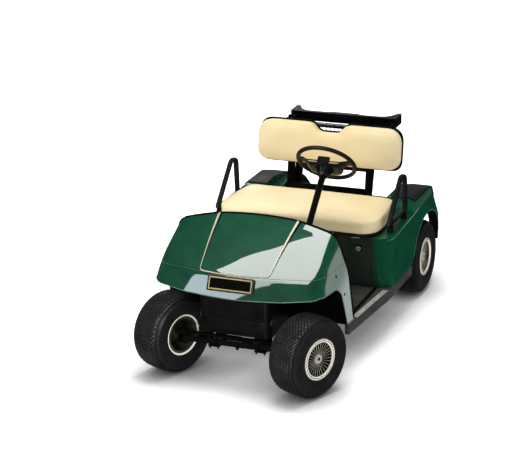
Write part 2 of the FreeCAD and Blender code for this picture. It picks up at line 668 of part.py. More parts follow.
def bag_rack():
    """Cross beam with a curved cradle at each end, two side arms and a front plate over the posts."""
    plan = rack_rear_edge() + [(-RACK_HALF_WIDTH, RACK_FRONT_Y, 8), (RACK_HALF_WIDTH, RACK_FRONT_Y, 8)]
    beam = prism("z", plan, RACK_BOTTOM, RACK_TOP)
    inner = prism("z", plan, RACK_BOTTOM - 1, RACK_TOP - 8, 7)
    beam = cut(beam, [inner])
    arm_top = RACK_BOTTOM + RACK_ARM_HEIGHT
    arms = [box(x, x + 40, RACK_ARM_FRONT, RACK_FRONT_Y + 8, RACK_BOTTOM, arm_top)
            for x in (-RACK_HALF_WIDTH + 4, RACK_HALF_WIDTH - 44)]
    cross = box(-RACK_HALF_WIDTH + 4, RACK_HALF_WIDTH - 4, RACK_ARM_FRONT, RACK_ARM_FRONT + 34,
                RACK_BOTTOM, RACK_BOTTOM + 14)
    return fuse([beam, cross] + arms)


def sweater_basket():
    """Open basket hung between the posts, in front of the rack beam."""
    rear = RACK_FRONT_Y - 6
    outline_yz = sharp([(rear - 104, 870), (rear, 870), (rear, RACK_BOTTOM), (rear - 116, RACK_BOTTOM),
                        (rear - 124, 985)])
    half = POST_INNER_X - TOUCH
    outer = prism("x", outline_yz, -half, half)
    inner = prism("x", outline_yz, -half + BASKET_WALL, half - BASKET_WALL, BASKET_WALL)
    mouth = box(-half + BASKET_WALL, half - BASKET_WALL, rear - 111, rear - BASKET_WALL, 980,
                RACK_BOTTOM + 10)
    return cut(outer, [inner, mouth])


# ---- steering ----
def column_point(distance):
    """Point on the steering column's line, measured up from the wheel's centre."""
    return WHEEL_CENTRE + COLUMN_DIR * distance


def boot_ends(margin=0):
    """Lower and upper end of the column's boot, the upper one longer by a margin."""
    reach = (WHEEL_CENTRE.y - FIREWALL_Y) / COLUMN_DIR.y
    return column_point(-reach - 40), column_point(-reach + 46 + margin)


def steering_column():
    """Column tube from the firewall to the wheel's hub, with a mounting boot at the firewall."""
    tube = rod(boot_ends()[0], column_point(-HUB_DEPTH - 2), COLUMN_RADIUS)
    boot = rod(*boot_ends(), BOOT_RADIUS)
    shaft = rod(column_point(-HUB_DEPTH - 30), column_point(-HUB_DEPTH + 40), 9)
    column = fuse([tube, boot, shaft])
    return cut(column, [box(0, 600, 0, FIREWALL_Y, 0, 1200)])


def steering_wheel():
    """Wheel with a dished centre plate on two arms, a hub cone and a score card clip above the plate."""
    ring = Part.makeTorus(WHEEL_RIM_RADIUS, WHEEL_GRIP_RADIUS)
    hub = Part.makeCone(27, 38, HUB_DEPTH - DISH_DEPTH, Vec(0, 0, -HUB_DEPTH))
    bend, edge = DISH_HALF_WIDTH + 26, DISH_HALF_WIDTH - 14
    upper = both_sides([(WHEEL_RIM_RADIUS, 6, 0), (bend, 2, 30), (edge, DISH_WALL - DISH_DEPTH, 30)])
    lower = both_sides([(WHEEL_RIM_RADIUS, -6, 0), (bend, -8, 30), (edge, -DISH_DEPTH, 30)])
    arms = prism("y", upper + lower[::-1], DISH_FRONT + 8, 10)
    arms = arms.common(Part.makeCylinder(WHEEL_RIM_RADIUS, 80, Vec(0, 0, -60)))
    corners = [(DISH_HALF_WIDTH, DISH_FRONT, 30), (DISH_HALF_WIDTH, DISH_REAR, 55)]
    dish = prism("z", both_sides(corners), -DISH_DEPTH, DISH_WALL - DISH_DEPTH)
    clip = box(-34, 34, DISH_FRONT, DISH_FRONT + 12, -DISH_DEPTH, 6)
    wheel = fuse([ring, hub, arms, dish, clip])
    wheel = cut(wheel, [Part.makeCylinder(9 + PIN_PLAY, 60, Vec(0, 0, -HUB_DEPTH - 10))])
    wheel.rotate(Vec(0, 0, 0), X_AXIS, -(90 - COLUMN_ANGLE))
    wheel.translate(WHEEL_CENTRE)
    return wheel


def on_toe_board(x0, x1, u0, u1, n0, n1):
    """Box on the toe board: u runs up the slope and n stands off it."""
    block = Part.makeBox(x1 - x0, n1 - n0, u1 - u0, Vec(x0, n0, u0))
    block.rotate(Vec(0, 0, 0), X_AXIS, TOE_LEAN)
    block.translate(Vec(0, TOE_Y, FLOOR_Z))
    return block


def pedals():
    """Brake and accelerator pedals on short arms from the toe board."""
    brake = [on_toe_board(150, 250, 120, 180, 62, 70), on_toe_board(192, 208, 130, 146, 0, 62)]
    accelerator = [on_toe_board(300, 362, 70, 190, 40, 47), on_toe_board(322, 340, 90, 106, 0, 40)]
    mat_hole = MAT_THICKNESS + TOUCH
    return [fuse(brake), fuse(accelerator)], [on_toe_board(188, 212, 126, 150, -1, mat_hole),
                                              on_toe_board(318, 344, 86, 110, -1, mat_hole)]


# ---- running gear ----
def battery_pack():
    """Plain block with the size of the six batteries under the seat."""
    return box(-390, 390, POD_FRONT + 25, POD_FRONT + 400, FLOOR_Z, POD_TOP - 30)


def rear_axle():
    """Axle tubes, differential housing and the two wheel shafts."""
    tube_end = REAR_WHEEL_X - HUB_INNER - 6
    tube = rod(Vec(-tube_end, WHEELBASE, AXLE_Z), Vec(tube_end, WHEELBASE, AXLE_Z), 32)
    shaft_end = REAR_WHEEL_X + SHAFT_REACH
    shaft = rod(Vec(-shaft_end, WHEELBASE, AXLE_Z), Vec(shaft_end, WHEELBASE, AXLE_Z), REAR_SHAFT_RADIUS)
    housing = rod(Vec(-70, WHEELBASE, AXLE_Z), Vec(70, WHEELBASE, AXLE_Z), 84)
    gearcase = box(-60, MOTOR_X, WHEELBASE + 40, WHEELBASE + 170, AXLE_Z - 92, AXLE_Z + 40)
    seats = [box(x - 25, x + 25, WHEELBASE - 30, WHEELBASE + 30, AXLE_Z, AXLE_Z + 40)
             for x in (-REAR_SPRING_X, REAR_SPRING_X)]
    return fuse([tube, shaft, housing, gearcase] + seats)


def drive_motor():
    """Electric motor beside the gear case, behind the axle."""
    start = Vec(MOTOR_X, WHEELBASE + 105, AXLE_Z - 32)
    return rod(start, start + X_AXIS * MOTOR_LENGTH, MOTOR_RADIUS)


def leaf_spring(x, y_front, y_rear, seat_y, seat_z, eye_z):
    """Three stacked leaves from eye to eye, with the eyes' rolled ends and the seat clamp."""
    low, high = x - SPRING_WIDTH / 2, x + SPRING_WIDTH / 2
    leaves = []
    for i, share in enumerate((1.0, 0.72, 0.45)):
        front = seat_y + (y_front - seat_y) * share
        rear = seat_y + (y_rear - seat_y) * share
        lift = (eye_z - seat_z - 14) * share
        base = seat_z + 7 * (2 - i)
        leaves.append(prism("x", sharp([
            (front, base + lift), (seat_y - 40, base), (seat_y + 40, base), (rear, base + lift),
            (rear, base + lift + 7), (seat_y + 40, base + 7), (seat_y - 40, base + 7),
            (front, base + lift + 7)]), low, high))
    eyes = [rod(Vec(low, y, eye_z + 4), Vec(high, y, eye_z + 4), 14) for y in (y_front, y_rear)]
    return fuse(leaves + eyes)


def rear_leaf_springs():
    """Leaf springs above the rear axle, outside the rails, on four hanger blocks."""
    spring = leaf_spring(REAR_SPRING_X, REAR_SPRING_FRONT, REAR_SPRING_BACK, WHEELBASE, AXLE_Z + 40,
                         RAIL_REAR_TOP - 42)
    hangers = [box(RAIL_INNER_X + RAIL_WIDTH, REAR_SPRING_X - SPRING_WIDTH / 2, y - 12, y + 12,
                   RAIL_REAR_TOP - 50, RAIL_REAR_TOP - 26)
               for y in (REAR_SPRING_FRONT, REAR_SPRING_BACK)]
    return pair(fuse([spring] + hangers))


def front_leaf_springs():
    """Trailing leaf stacks from the front beam back to hanger blocks on the rails' inner sides."""
    low, high = FRONT_SPRING_X - SPRING_WIDTH / 2, FRONT_SPRING_X + SPRING_WIDTH / 2
    leaves = [box(low, high, -BEAM_HALF_DEPTH, length, BEAM_TOP + 7 * i, BEAM_TOP + 7 * (i + 1))
              for i, length in enumerate((FRONT_EYE_Y, 300, 200))]
    eye = rod(Vec(low, FRONT_EYE_Y, BEAM_TOP + 3.5), Vec(high, FRONT_EYE_Y, BEAM_TOP + 3.5), 12)
    hanger = box(high, RAIL_INNER_X, FRONT_EYE_Y - 11, FRONT_EYE_Y + 11, BEAM_TOP - 8, BEAM_TOP + 15)
    return pair(fuse(leaves + [eye, hanger]))


def front_axle():
    """Front beam with kingpin bosses, spring pads and clamp plates."""
    beam = box(-KINGPIN_X, KINGPIN_X, -BEAM_HALF_DEPTH, BEAM_HALF_DEPTH, BEAM_BOTTOM, BEAM_TOP)
    bosses = [Part.makeCylinder(BOSS_RADIUS, BOSS_TOP - BOSS_BOTTOM, Vec(x, 0, BOSS_BOTTOM))
              for x in (-KINGPIN_X, KINGPIN_X)]
    bores = [Part.makeCylinder(KINGPIN_RADIUS + PIN_PLAY, 200, Vec(x, 0, BEAM_BOTTOM - 60))
             for x in (-KINGPIN_X, KINGPIN_X)]
    clamps = [box(x - 34, x + 34, -36, 36, BEAM_BOTTOM - 8, BEAM_BOTTOM) for x in (-139, 139)]
    studs = [Part.makeCylinder(5, 22, Vec(x + dx, dy, BEAM_BOTTOM - 20))
             for x in (-139, 139) for dx in (-24, 24) for dy in (-28, 28)]
    return cut(fuse([beam] + bosses + clamps + studs), bores)


def front_dampers():
    """Upright dampers between the front beam and the rails."""
    length = RAIL_FRONT_TOP - RAIL_DEPTH - BEAM_TOP
    return pair(Part.makeCylinder(24, length, Vec(RAIL_INNER_X + RAIL_WIDTH / 2, 0, BEAM_TOP)))


def shock_absorbers():
    """Rear dampers from the axle tube up to the rails."""
    foot = Vec(RAIL_INNER_X + 25, WHEELBASE - 10, AXLE_Z + 28)
    head = Vec(RAIL_INNER_X + 25, WHEELBASE - 24, RAIL_REAR_TOP - RAIL_DEPTH)
    damper = rod(foot, head, 17)
    above = box(0, 400, WHEELBASE - 160, WHEELBASE + 240, RAIL_REAR_TOP - RAIL_DEPTH, RAIL_REAR_TOP)
    return pair(cut(damper, [rear_axle(), above]))


def knuckle(side):
    """Steering knuckle, wheels straight: kingpin, fork, spindle and forward steering arm."""
    pin = Part.makeCylinder(KINGPIN_RADIUS, BOSS_TOP - BOSS_BOTTOM + 2 * FORK_PLATE,
                            Vec(0, 0, BOSS_BOTTOM - FORK_PLATE))
    plates = [box(-20, 40, -18, 18, z, z + FORK_PLATE - TOUCH)
              for z in (BOSS_BOTTOM - FORK_PLATE, BOSS_TOP + TOUCH)]
    web = box(26, 40, -18, 18, BOSS_BOTTOM - FORK_PLATE, BOSS_TOP + FORK_PLATE)
    spindle = rod(Vec(26, 0, AXLE_Z), Vec(FRONT_OFFSET + SHAFT_REACH, 0, AXLE_Z), SPINDLE_RADIUS)
    shape = fuse([pin, web, spindle] + plates)
    if side < 0:
        shape = mirrored(shape)
    arm = box(-11, 11, -STEER_ARM, 0, BOSS_TOP + TOUCH, BOSS_TOP + FORK_PLATE)
    eye = Part.makeCylinder(11, FORK_PLATE - TOUCH, Vec(0, -STEER_ARM, BOSS_TOP + TOUCH))
    stud = Part.makeCylinder(5, 34, Vec(0, -STEER_ARM, BOSS_TOP + TOUCH))
    shape = fuse([shape, arm, eye, stud])
    return steered(shape, side)


def steered(shape, side):
    """Shape drawn about the kingpin, turned with the wheels and moved to its end of the beam."""
    shape.rotate(Vec(0, 0, 0), Z_AXIS, STEER_ANGLE)
    shape.translate(Vec(side * KINGPIN_X, 0, 0))
    return shape


def rod_eye(side):
    """Axis point of the track rod's eye on one steering arm."""
    angle = math.radians(STEER_ANGLE)
    return Vec(side * KINGPIN_X + STEER_ARM * math.sin(angle), -STEER_ARM * math.cos(angle),
               BOSS_TOP + FORK_PLATE + TOUCH + ROD_RADIUS + 1)


def tie_rod():
    """Track rod between the two steering arms; the far eye has play so that it can drift."""
    left, right = rod_eye(1), rod_eye(-1)
    bar = rod(right, left, ROD_RADIUS)
    sleeve = rod(right + (left - right) * 0.42, right + (left - right) * 0.58, ROD_RADIUS + 3)
    height = 2 * ROD_RADIUS + 2
    eyes = [Part.makeCylinder(13, height, end - Z_AXIS * (height / 2)) for end in (left, right)]
    bores = [Part.makeCylinder(radius, 60, end - Z_AXIS * 30)
             for end, radius in ((left, 5 + PIN_PLAY), (right, 7.0))]
    return cut(fuse([bar, sleeve] + eyes), bores)


def tyre():
    """Open-bellied tyre ring about the X axis with rounded shoulders."""
    half = TYRE_WIDTH / 2
    seat = RIM_HALF_WIDTH - 4
    crown = TYRE_RADIUS - TYRE_WALL
    return revolve_x([
        (seat, RIM_RADIUS, 0), (seat, 118, 10), (half, 150, 20), (half, TYRE_RADIUS, TYRE_SHOULDER),
        (-half, TYRE_RADIUS, TYRE_SHOULDER), (-half, 150, 20), (-seat, 118, 10), (-seat, RIM_RADIUS, 0),
        (-seat + TYRE_WALL, RIM_RADIUS, 0), (-seat + TYRE_WALL, 124, 10), (-half + TYRE_WALL, 152, 12),
        (-half + TYRE_WALL, crown, 33), (half - TYRE_WALL, crown, 33), (half - TYRE_WALL, 152, 12),
        (seat - TYRE_WALL, 124, 10), (seat - TYRE_WALL, RIM_RADIUS, 0)])


def rim(bore):
    """Steel wheel about the X axis: barrel, flanges, disc and hub, outboard side at +X."""
    half = RIM_HALF_WIDTH
    inner = RIM_RADIUS - RIM_SHEET
    flange = half - 4
    barrel = revolve_x(sharp([
        (half, inner), (half, FLANGE_RADIUS), (flange, FLANGE_RADIUS), (flange, RIM_RADIUS),
        (-flange, RIM_RADIUS), (-flange, FLANGE_RADIUS), (-half, FLANGE_RADIUS), (-half, inner)]))
    disc = rod(Vec(28, 0, 0), Vec(34, 0, 0), inner + 1)
    hub = rod(Vec(-HUB_INNER, 0, 0), Vec(40, 0, 0), HUB_RADIUS)
    bore_tool = rod(Vec(-100, 0, 0), Vec(100, 0, 0), bore + PIN_PLAY)
    return cut(fuse([barrel, disc, hub]), [bore_tool])


def wheel_cover():
    """Snap-on cover about the X axis: outer ring, dished face and raised hub cap."""
    seat = RIM_HALF_WIDTH
    return revolve_x(sharp([
        (seat - 4, 0), (seat - 8, 24), (seat - 16, 30), (seat - 16, 86), (COVER_FACE, 100),
        (COVER_FACE - 1, COVER_RADIUS - 4), (seat + 1, COVER_RADIUS), (seat, COVER_RADIUS), (seat, 94),
        (seat - 22, 83), (seat - 22, 28), (seat - 14, 22), (seat - 12, 0)]))


def placed_wheel(shape, side, axle_y, outward):
    """Wheel part moved from the X axis to its axle; steered with the knuckle at the front."""
    if side < 0:
        shape = mirrored(shape)
    shape.translate(Vec(side * outward, axle_y, AXLE_Z))
    return steered(shape, side) if axle_y == 0 else shape


def wheels():
    """Tyre, rim and cover of the four wheels."""
    shapes = {}
    # name, side, y of the axle, distance outwards from the kingpin or the middle, shaft radius
    corners = [("front_left", 1, 0, FRONT_OFFSET, SPINDLE_RADIUS),
               ("front_right", -1, 0, FRONT_OFFSET, SPINDLE_RADIUS),
               ("rear_left", 1, WHEELBASE, REAR_WHEEL_X, REAR_SHAFT_RADIUS),
               ("rear_right", -1, WHEELBASE, REAR_WHEEL_X, REAR_SHAFT_RADIUS)]
    for name, side, axle_y, outward, shaft in corners:
        shapes["tyre_" + name] = placed_wheel(tyre(), side, axle_y, outward)
        shapes["rim_" + name] = placed_wheel(rim(shaft), side, axle_y, outward)
        shapes["cover_" + name] = placed_wheel(wheel_cover(), side, axle_y, outward)
    return shapes


# ---- assembly ----
def all_pieces():
    """Every node's name with its solid or solids."""
    pedal_solids, mat_cuts = pedals()
    pieces = {
        "chassis_frame": chassis_frame(),
        "floor_pan": floor_pan(),
        "floor_mat": cut(floor_mat(), mat_cuts),
        "sill_panels": sill_panels(),
        "step_strips": step_strips(),
        "front_cowl": front_cowl(),
        "badge_plate": badge_plate(),
        "front_fascia": front_fascia(),
        "splash_guards": splash_guards(),
        "instrument_panel": instrument_panel(),
        "rear_body": rear_body(),
        "seat_apron": seat_apron(),
        "switch_panel": switch_panel(),
        "fender_pads": fender_pads(),
        "bagwell": bagwell(),
        "rear_bumper": rear_bumper(),
        "seat_cushion": seat_cushion(),
        "seat_base": seat_base(),
        "seat_hinge_pins": seat_hinge_pins(),
        "seat_back_cushion": seat_back_cushion(),
        "seat_back_shell": seat_back_shell(),
        "seat_back_struts": seat_back_struts(),
        "hip_restraints": hip_restraints(),
        "bag_rack_posts": bag_rack_posts(),
        "bag_rack": bag_rack(),
        "sweater_basket": sweater_basket(),
        "steering_column": steering_column(),
        "steering_wheel": steering_wheel(),
        "pedals": pedal_solids,
        "battery_pack": battery_pack(),
        "rear_axle": rear_axle(),
        "drive_motor": drive_motor(),
        "rear_leaf_springs": rear_leaf_springs(),
        "shock_absorbers": shock_absorbers(),
        "front_axle": front_axle(),
        "front_dampers": front_dampers(),
        "front_leaf_springs": front_leaf_springs(),
        "knuckle_left": knuckle(1),
        "knuckle_right": knuckle(-1),
        "tie_rod": tie_rod(),
    }
    pieces.update(wheels())
    return pieces


def place_in_row(shape):
    """Copy of a shape moved from the front axle's frame to the row's frame."""
    moved = shape.copy()
    moved.translate(ROW_SHIFT)
    return moved


def main():
    """Writes one STEP file for each node."""
    os.makedirs("parts", exist_ok=True)
    for name, shape in all_pieces().items():
        solids = shape if isinstance(shape, list) else [shape]
        solids = [solid for item in solids for solid in item.Solids]
        moved = Part.makeCompound([place_in_row(solid) for solid in solids])
        moved.exportStep("parts/" + name + ".step")


main()
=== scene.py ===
"""Looks of a two-seat golf cart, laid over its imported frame.

Sizes are in millimetres from the middle of the front axle, on the ground: +X is the driver's (left)
side, +Y points to the rear and +Z is up. Workshop.place() turns them into the frame's metres.
"""

import json
import logging
import math
from dataclasses import dataclass
from enum import Enum
from typing import Callable, Sequence

import bmesh
import bpy
import numpy as np
from mathutils import Matrix, Vector

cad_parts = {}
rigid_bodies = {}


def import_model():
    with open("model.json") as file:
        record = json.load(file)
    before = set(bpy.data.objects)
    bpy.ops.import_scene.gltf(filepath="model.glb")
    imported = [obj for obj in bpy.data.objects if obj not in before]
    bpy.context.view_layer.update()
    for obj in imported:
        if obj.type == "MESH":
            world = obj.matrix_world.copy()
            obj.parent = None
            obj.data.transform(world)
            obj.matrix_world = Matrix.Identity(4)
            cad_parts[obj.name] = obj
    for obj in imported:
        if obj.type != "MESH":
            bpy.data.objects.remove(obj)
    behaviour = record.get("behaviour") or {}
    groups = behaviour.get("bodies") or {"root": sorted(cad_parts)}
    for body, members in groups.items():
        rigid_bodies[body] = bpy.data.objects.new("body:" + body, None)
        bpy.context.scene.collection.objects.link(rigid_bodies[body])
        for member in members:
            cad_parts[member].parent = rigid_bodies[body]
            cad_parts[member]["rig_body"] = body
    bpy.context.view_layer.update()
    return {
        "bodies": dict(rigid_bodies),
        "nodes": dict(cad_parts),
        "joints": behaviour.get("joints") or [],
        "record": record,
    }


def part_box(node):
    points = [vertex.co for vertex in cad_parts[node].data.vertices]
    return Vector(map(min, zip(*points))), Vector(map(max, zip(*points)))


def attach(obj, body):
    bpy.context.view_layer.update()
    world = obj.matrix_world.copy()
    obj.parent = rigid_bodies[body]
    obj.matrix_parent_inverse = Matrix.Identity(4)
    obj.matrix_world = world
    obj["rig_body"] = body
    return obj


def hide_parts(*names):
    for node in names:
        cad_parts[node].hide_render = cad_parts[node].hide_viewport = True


LOG = logging.getLogger("golf_cart")
Array = np.ndarray
SKINS: dict[str, bpy.types.Material] = {}

# height of the wheels' middles, which is the tyres' radius, and distance between the axles
AXLE_LEVEL = 228.5
WHEELBASE = 1660.0
# the front wheels are turned to the cart's right at rest
STEERED = math.radians(-23)
# scale at which the wave texture has one band in each unit of length
WAVE_UNIT = 0.314


# ---- finishes ----
def linear(colour: str) -> tuple[float, float, float, float]:
    """Linear RGBA of an sRGB hex colour: each channel over 12.92 when dark, else a 2.4 power.

    Args:
        colour: six hex digits with a leading hash sign.

    Returns:
        Red, green, blue and an alpha of one.
    """
    parts = [int(colour[i:i + 2], 16) / 255 for i in (1, 3, 5)]
    return tuple(c / 12.92 if c <= 0.04045 else ((c + 0.055) / 1.055) ** 2.4 for c in parts) + (1.0,)


def add_node(tree: bpy.types.NodeTree, kind: str, inputs: dict | None = None, **settings) -> bpy.types.Node:
    """Adds a node, sets its properties and fills its inputs with values or links.

    Args:
        tree: node tree that gets the node.
        kind: Blender's name of the node type.
        inputs: socket name or number to a value, or to the output socket that feeds it.
        **settings: properties of the node.

    Returns:
        The new node.
    """
    node = tree.nodes.new(kind)
    for key, value in settings.items():
        setattr(node, key, value)
    for key, value in (inputs or {}).items():
        if isinstance(value, bpy.types.NodeSocket):
            tree.links.new(value, node.inputs[key])
        else:
            node.inputs[key].default_value = value
    return node


def bare_tree(owner: bpy.types.Material | bpy.types.World) -> bpy.types.NodeTree:
    """Turns on the nodes of a material or a world and takes the default ones out.

    Args:
        owner: the material or the world.

    Returns:
        Its empty node tree.
    """
    owner.use_nodes = True
    owner.node_tree.nodes.clear()
    return owner.node_tree


class Relief(Enum):
    """How a surface was made, which decides its small relief."""

    PEEL = "sprayed or polished, with a faint orange peel"
    GRAIN = "moulded against an etched tool"
    HIDE = "embossed like hide"
    RIBS = "moulded or rolled ribs across the cart"
    TREADPLATE = "rolled bars along the cart"
    BRUSHED = "drawn or brushed along the cart"
    CAST = "sand cast"
    WOOD = "sawn and sealed"


@dataclass(frozen=True)
class Finish:
    """One finish: its colours, how it shines and its relief at a real size in millimetres."""

    name: str
    slot: str
    colour: str
    shade: str
    roughness: float
    relief: Relief
    pitch: float = 2.0
    depth: float = 0.1
    metallic: float = 0.0
    ior: float = 1.5
    specular: float = 0.5
    coat: float = 0.0
    coat_ior: float = 1.5
    coat_roughness: float = 0.03
    sheen: float = 0.0
    blotch: float = 90.0
    wear: float = 0.08

    def height(self, tree: bpy.types.NodeTree, coords: bpy.types.NodeSocket) -> bpy.types.NodeSocket:
        """Height pattern of the relief, repeated at the finish's pitch.

        Args:
            tree: the material's node tree.
            coords: object coordinates in metres.

        Returns:
            Socket with the height from 0 to 1.
        """
        scale = 1000 / self.pitch
        if self.relief is Relief.GRAIN:
            cells = add_node(tree, "ShaderNodeTexVoronoi", {"Vector": coords, "Scale": scale},
                             feature="SMOOTH_F1")
            return cells.outputs["Distance"]
        if self.relief is Relief.HIDE:
            fine = add_node(tree, "ShaderNodeTexNoise", {"Vector": coords, "Scale": scale * 0.5,
                                                         "Detail": 2.0})
            bent = add_node(tree, "ShaderNodeVectorMath", {0: coords, 1: fine.outputs["Color"],
                                                           2: (0.002, 0.002, 0.002)},
                            operation="MULTIPLY_ADD")
            pores = add_node(tree, "ShaderNodeTexVoronoi", {"Vector": bent.outputs[0], "Scale": scale},
                             feature="DISTANCE_TO_EDGE")
            return pores.outputs["Distance"]
        if self.relief in (Relief.RIBS, Relief.TREADPLATE):
            axis = "X" if self.relief is Relief.RIBS else "Y"
            bands = add_node(tree, "ShaderNodeTexWave", {"Vector": coords, "Scale": WAVE_UNIT * scale,
                                                         "Distortion": 0.0}, bands_direction=axis)
            return bands.outputs["Fac"]
        stretch = {Relief.BRUSHED: (1.0, 0.04, 1.0),
                   Relief.WOOD: (1.0, 0.08, 1.0)}.get(self.relief, (1, 1, 1))
        turned = add_node(tree, "ShaderNodeMapping", {"Vector": coords, "Scale": stretch})
        detail = {Relief.PEEL: 1.0, Relief.CAST: 6.0}.get(self.relief, 3.0)
        noise = add_node(tree, "ShaderNodeTexNoise", {"Vector": turned.outputs[0], "Scale": scale,
                                                      "Detail": detail, "Roughness": 0.6})
        return noise.outputs["Fac"]

    def material(self) -> bpy.types.Material:
        """The finish as a material: blotched colour, uneven shine and relief.

        Returns:
            The material, made on the first call and shared after that.
        """
        if self.name in SKINS:
            return SKINS[self.name]
        skin = bpy.data.materials.new(self.name)
        tree = bare_tree(skin)
        coords = add_node(tree, "ShaderNodeTexCoord").outputs["Object"]
        cloud = add_node(tree, "ShaderNodeTexNoise", {"Vector": coords, "Scale": 1000 / self.blotch,
                                                      "Detail": 4.0, "Roughness": 0.55}).outputs["Fac"]
        colour = add_node(tree, "ShaderNodeValToRGB", {"Fac": cloud})
        low, high = colour.color_ramp.elements
        low.position, low.color = 0.3, linear(self.shade)
        high.position, high.color = 0.68, linear(self.colour)
        shine = add_node(tree, "ShaderNodeMapRange", {
            "Value": cloud, "From Min": 0.25, "From Max": 0.75,
            "To Min": max(self.roughness - self.wear, 0.02), "To Max": min(self.roughness + self.wear, 1.0)})
        bump = add_node(tree, "ShaderNodeBump", {"Height": self.height(tree, coords), "Strength": 0.6,
                                                 "Distance": self.depth / 1000})
        shader = add_node(tree, "ShaderNodeBsdfPrincipled", {
            "Base Color": colour.outputs["Color"], "Roughness": shine.outputs["Result"],
            "Normal": bump.outputs["Normal"], "Metallic": self.metallic, "IOR": self.ior,
            "Specular IOR Level": self.specular,
            "Coat Weight": self.coat, "Coat IOR": self.coat_ior, "Coat Roughness": self.coat_roughness,
            "Sheen Weight": self.sheen, "Sheen Roughness": 0.4})
        add_node(tree, "ShaderNodeOutputMaterial", {"Surface": shader.outputs[0]})
        SKINS[self.name] = skin
        return skin


# glass-smooth pigmented ABS under clear lacquer: deep green, mirror-like highlights
LACQUERED_ABS = Finish("green lacquered ABS", "body_green", "#0d5239", "#0a4630", 0.45, Relief.PEEL,
                       14.0, 0.015, ior=1.2, coat=1.0, coat_roughness=0.02, wear=0.04, specular=0.2)
# pale green on the shell's long creases: a painted highlight where they catch the light
CREASE_HIGHLIGHT = Finish("pale green crease highlight", "body_green", "#8fa598", "#718c7e", 0.4, Relief.PEEL, 9.0, 0.02)
# pale green on rolled beads and lips: a painted highlight along their rounded edges
EDGE_HIGHLIGHT = Finish("pale green edge highlight", "body_green", "#5f8273", "#4c6c5f", 0.45, Relief.PEEL, 9.0, 0.02,
                   specular=0.3)
# vacuum-formed black ABS sheet without paint: bag well and arch liners; on the black strips beside the hood's
# step it is painted shade
RAW_ABS = Finish("unpainted black ABS", "black_plastic", "#0c0d0d", "#080909", 0.55, Relief.GRAIN, 3.0, 0.15,
                 specular=0.12)
# polypropylene moulded against a fine spark-etched tool: soft dark sheen
ETCHED_PP = Finish("etched black polypropylene", "black_plastic", "#0b0c0d", "#070808", 0.42, Relief.GRAIN,
                   2.2, 0.12, specular=0.16)
# smoother moulded polypropylene of the front shield, a little glossier
POLISHED_PP = Finish("smooth black polypropylene", "black_plastic", "#0b0b0c", "#060607", 0.3, Relief.PEEL,
                     6.0, 0.05, specular=0.3)
# textured panel under the bench, dark green-grey
APRON_ABS = Finish("textured green-black ABS", "black_plastic", "#353f38", "#2a332d", 0.45, Relief.GRAIN,
                   2.6, 0.15, specular=0.3)
# glass-filled nylon of the bag rack: dry and dark, coarse etch
FILLED_NYLON = Finish("glass-filled nylon", "rack_plastic", "#101115", "#0a0b0d", 0.45, Relief.GRAIN,
                      3.0, 0.15, specular=0.16)
# cast polyurethane of the steering wheel's ring: dark brown-black, satin, fine grain
CAST_URETHANE = Finish("cast urethane", "wheel_plastic", "#1d1716", "#151110", 0.42, Relief.GRAIN, 1.6, 0.08,
                       specular=0.25)
# moulded nylon of the steering wheel's dished plate: dark grey satin
DISH_NYLON = Finish("dark grey moulded nylon", "wheel_plastic", "#1b1a1b", "#131213", 0.4, Relief.GRAIN,
                    1.8, 0.1, specular=0.35)
# powder-coated steel: satin black with orange peel
POWDER_COAT = Finish("black powder coat", "frame_paint", "#0b0b0d", "#070708", 0.34, Relief.PEEL, 5.0, 0.08,
                     specular=0.16)
# glossier stove enamel of the column tube, which shows long highlights
STOVE_ENAMEL = Finish("black stove enamel", "frame_paint", "#0a0b0c", "#060707", 0.2, Relief.PEEL, 9.0, 0.03,
                      coat=0.5)
# pressed rubber mat: dull warm grey with fine ribs
PRESSED_RUBBER = Finish("pressed grey rubber", "mat_rubber", "#45423f", "#393634", 0.68, Relief.RIBS,
                        12.0, 0.5)
# rotomoulded floor liner
FLOOR_PP = Finish("black floor polypropylene", "floor_plastic", "#121213", "#0c0c0d", 0.55, Relief.GRAIN,
                  3.0, 0.2, specular=0.16)
# extruded grey PVC sill, matt with a faint grain
SILL_PVC = Finish("grey sill PVC", "sill_plastic", "#4a4a4b", "#3b3b3c", 0.5, Relief.GRAIN, 3.0, 0.12)
# anodised aluminium strip with rolled bars
ANODISED_STRIP = Finish("anodised aluminium strip", "bright_aluminium", "#e9e4de", "#cfc9c2", 0.32,
                        Relief.TREADPLATE, 16.0, 0.5, metallic=0.55)
# marine vinyl over foam: warm cream, soft sheen, small hide grain
MARINE_VINYL = Finish("cream marine vinyl", "cream_vinyl", "#f1e0b6", "#e9d4a2", 0.46, Relief.HIDE, 3.2, 0.12,
                      sheen=0.05, blotch=220.0)
# integral-skin polyurethane foam of the hip loops: black, slightly rubbery
SKINNED_FOAM = Finish("black integral-skin foam", "padded_foam", "#151618", "#0f1011", 0.5, Relief.GRAIN,
                      2.6, 0.15, specular=0.25)
# ribbed thermoplastic rubber scuff pad
SCUFF_TPR = Finish("ribbed thermoplastic rubber", "pad_plastic", "#1a1d20", "#131618", 0.52, Relief.RIBS,
                   22.0, 1.2, specular=0.25)
# carbon-filled tyre rubber: satin charcoal with a fine grain
TYRE_RUBBER = Finish("tyre rubber", "turf_tyre", "#232424", "#181919", 0.42, Relief.GRAIN, 3.0, 0.15,
                     wear=0.1, specular=0.45)
# stove-enamelled steel wheel in ivory
IVORY_ENAMEL = Finish("ivory stove enamel", "rim_cream", "#fffdf2", "#f6f1e0", 0.22, Relief.PEEL, 8.0, 0.03,
                      coat=0.6)
# weathered primer on the steel wheel's pressing
DULL_ENAMEL = Finish("dull primer", "rim_cream", "#4a443b", "#2e2a25", 0.5, Relief.CAST, 6.0, 0.2)
# high-gloss black ABS of the wheel cover's dish
COVER_ABS = Finish("gloss black ABS", "cover_black", "#060605", "#040403", 0.25, Relief.PEEL, 8.0, 0.03,
                   specular=0.2)
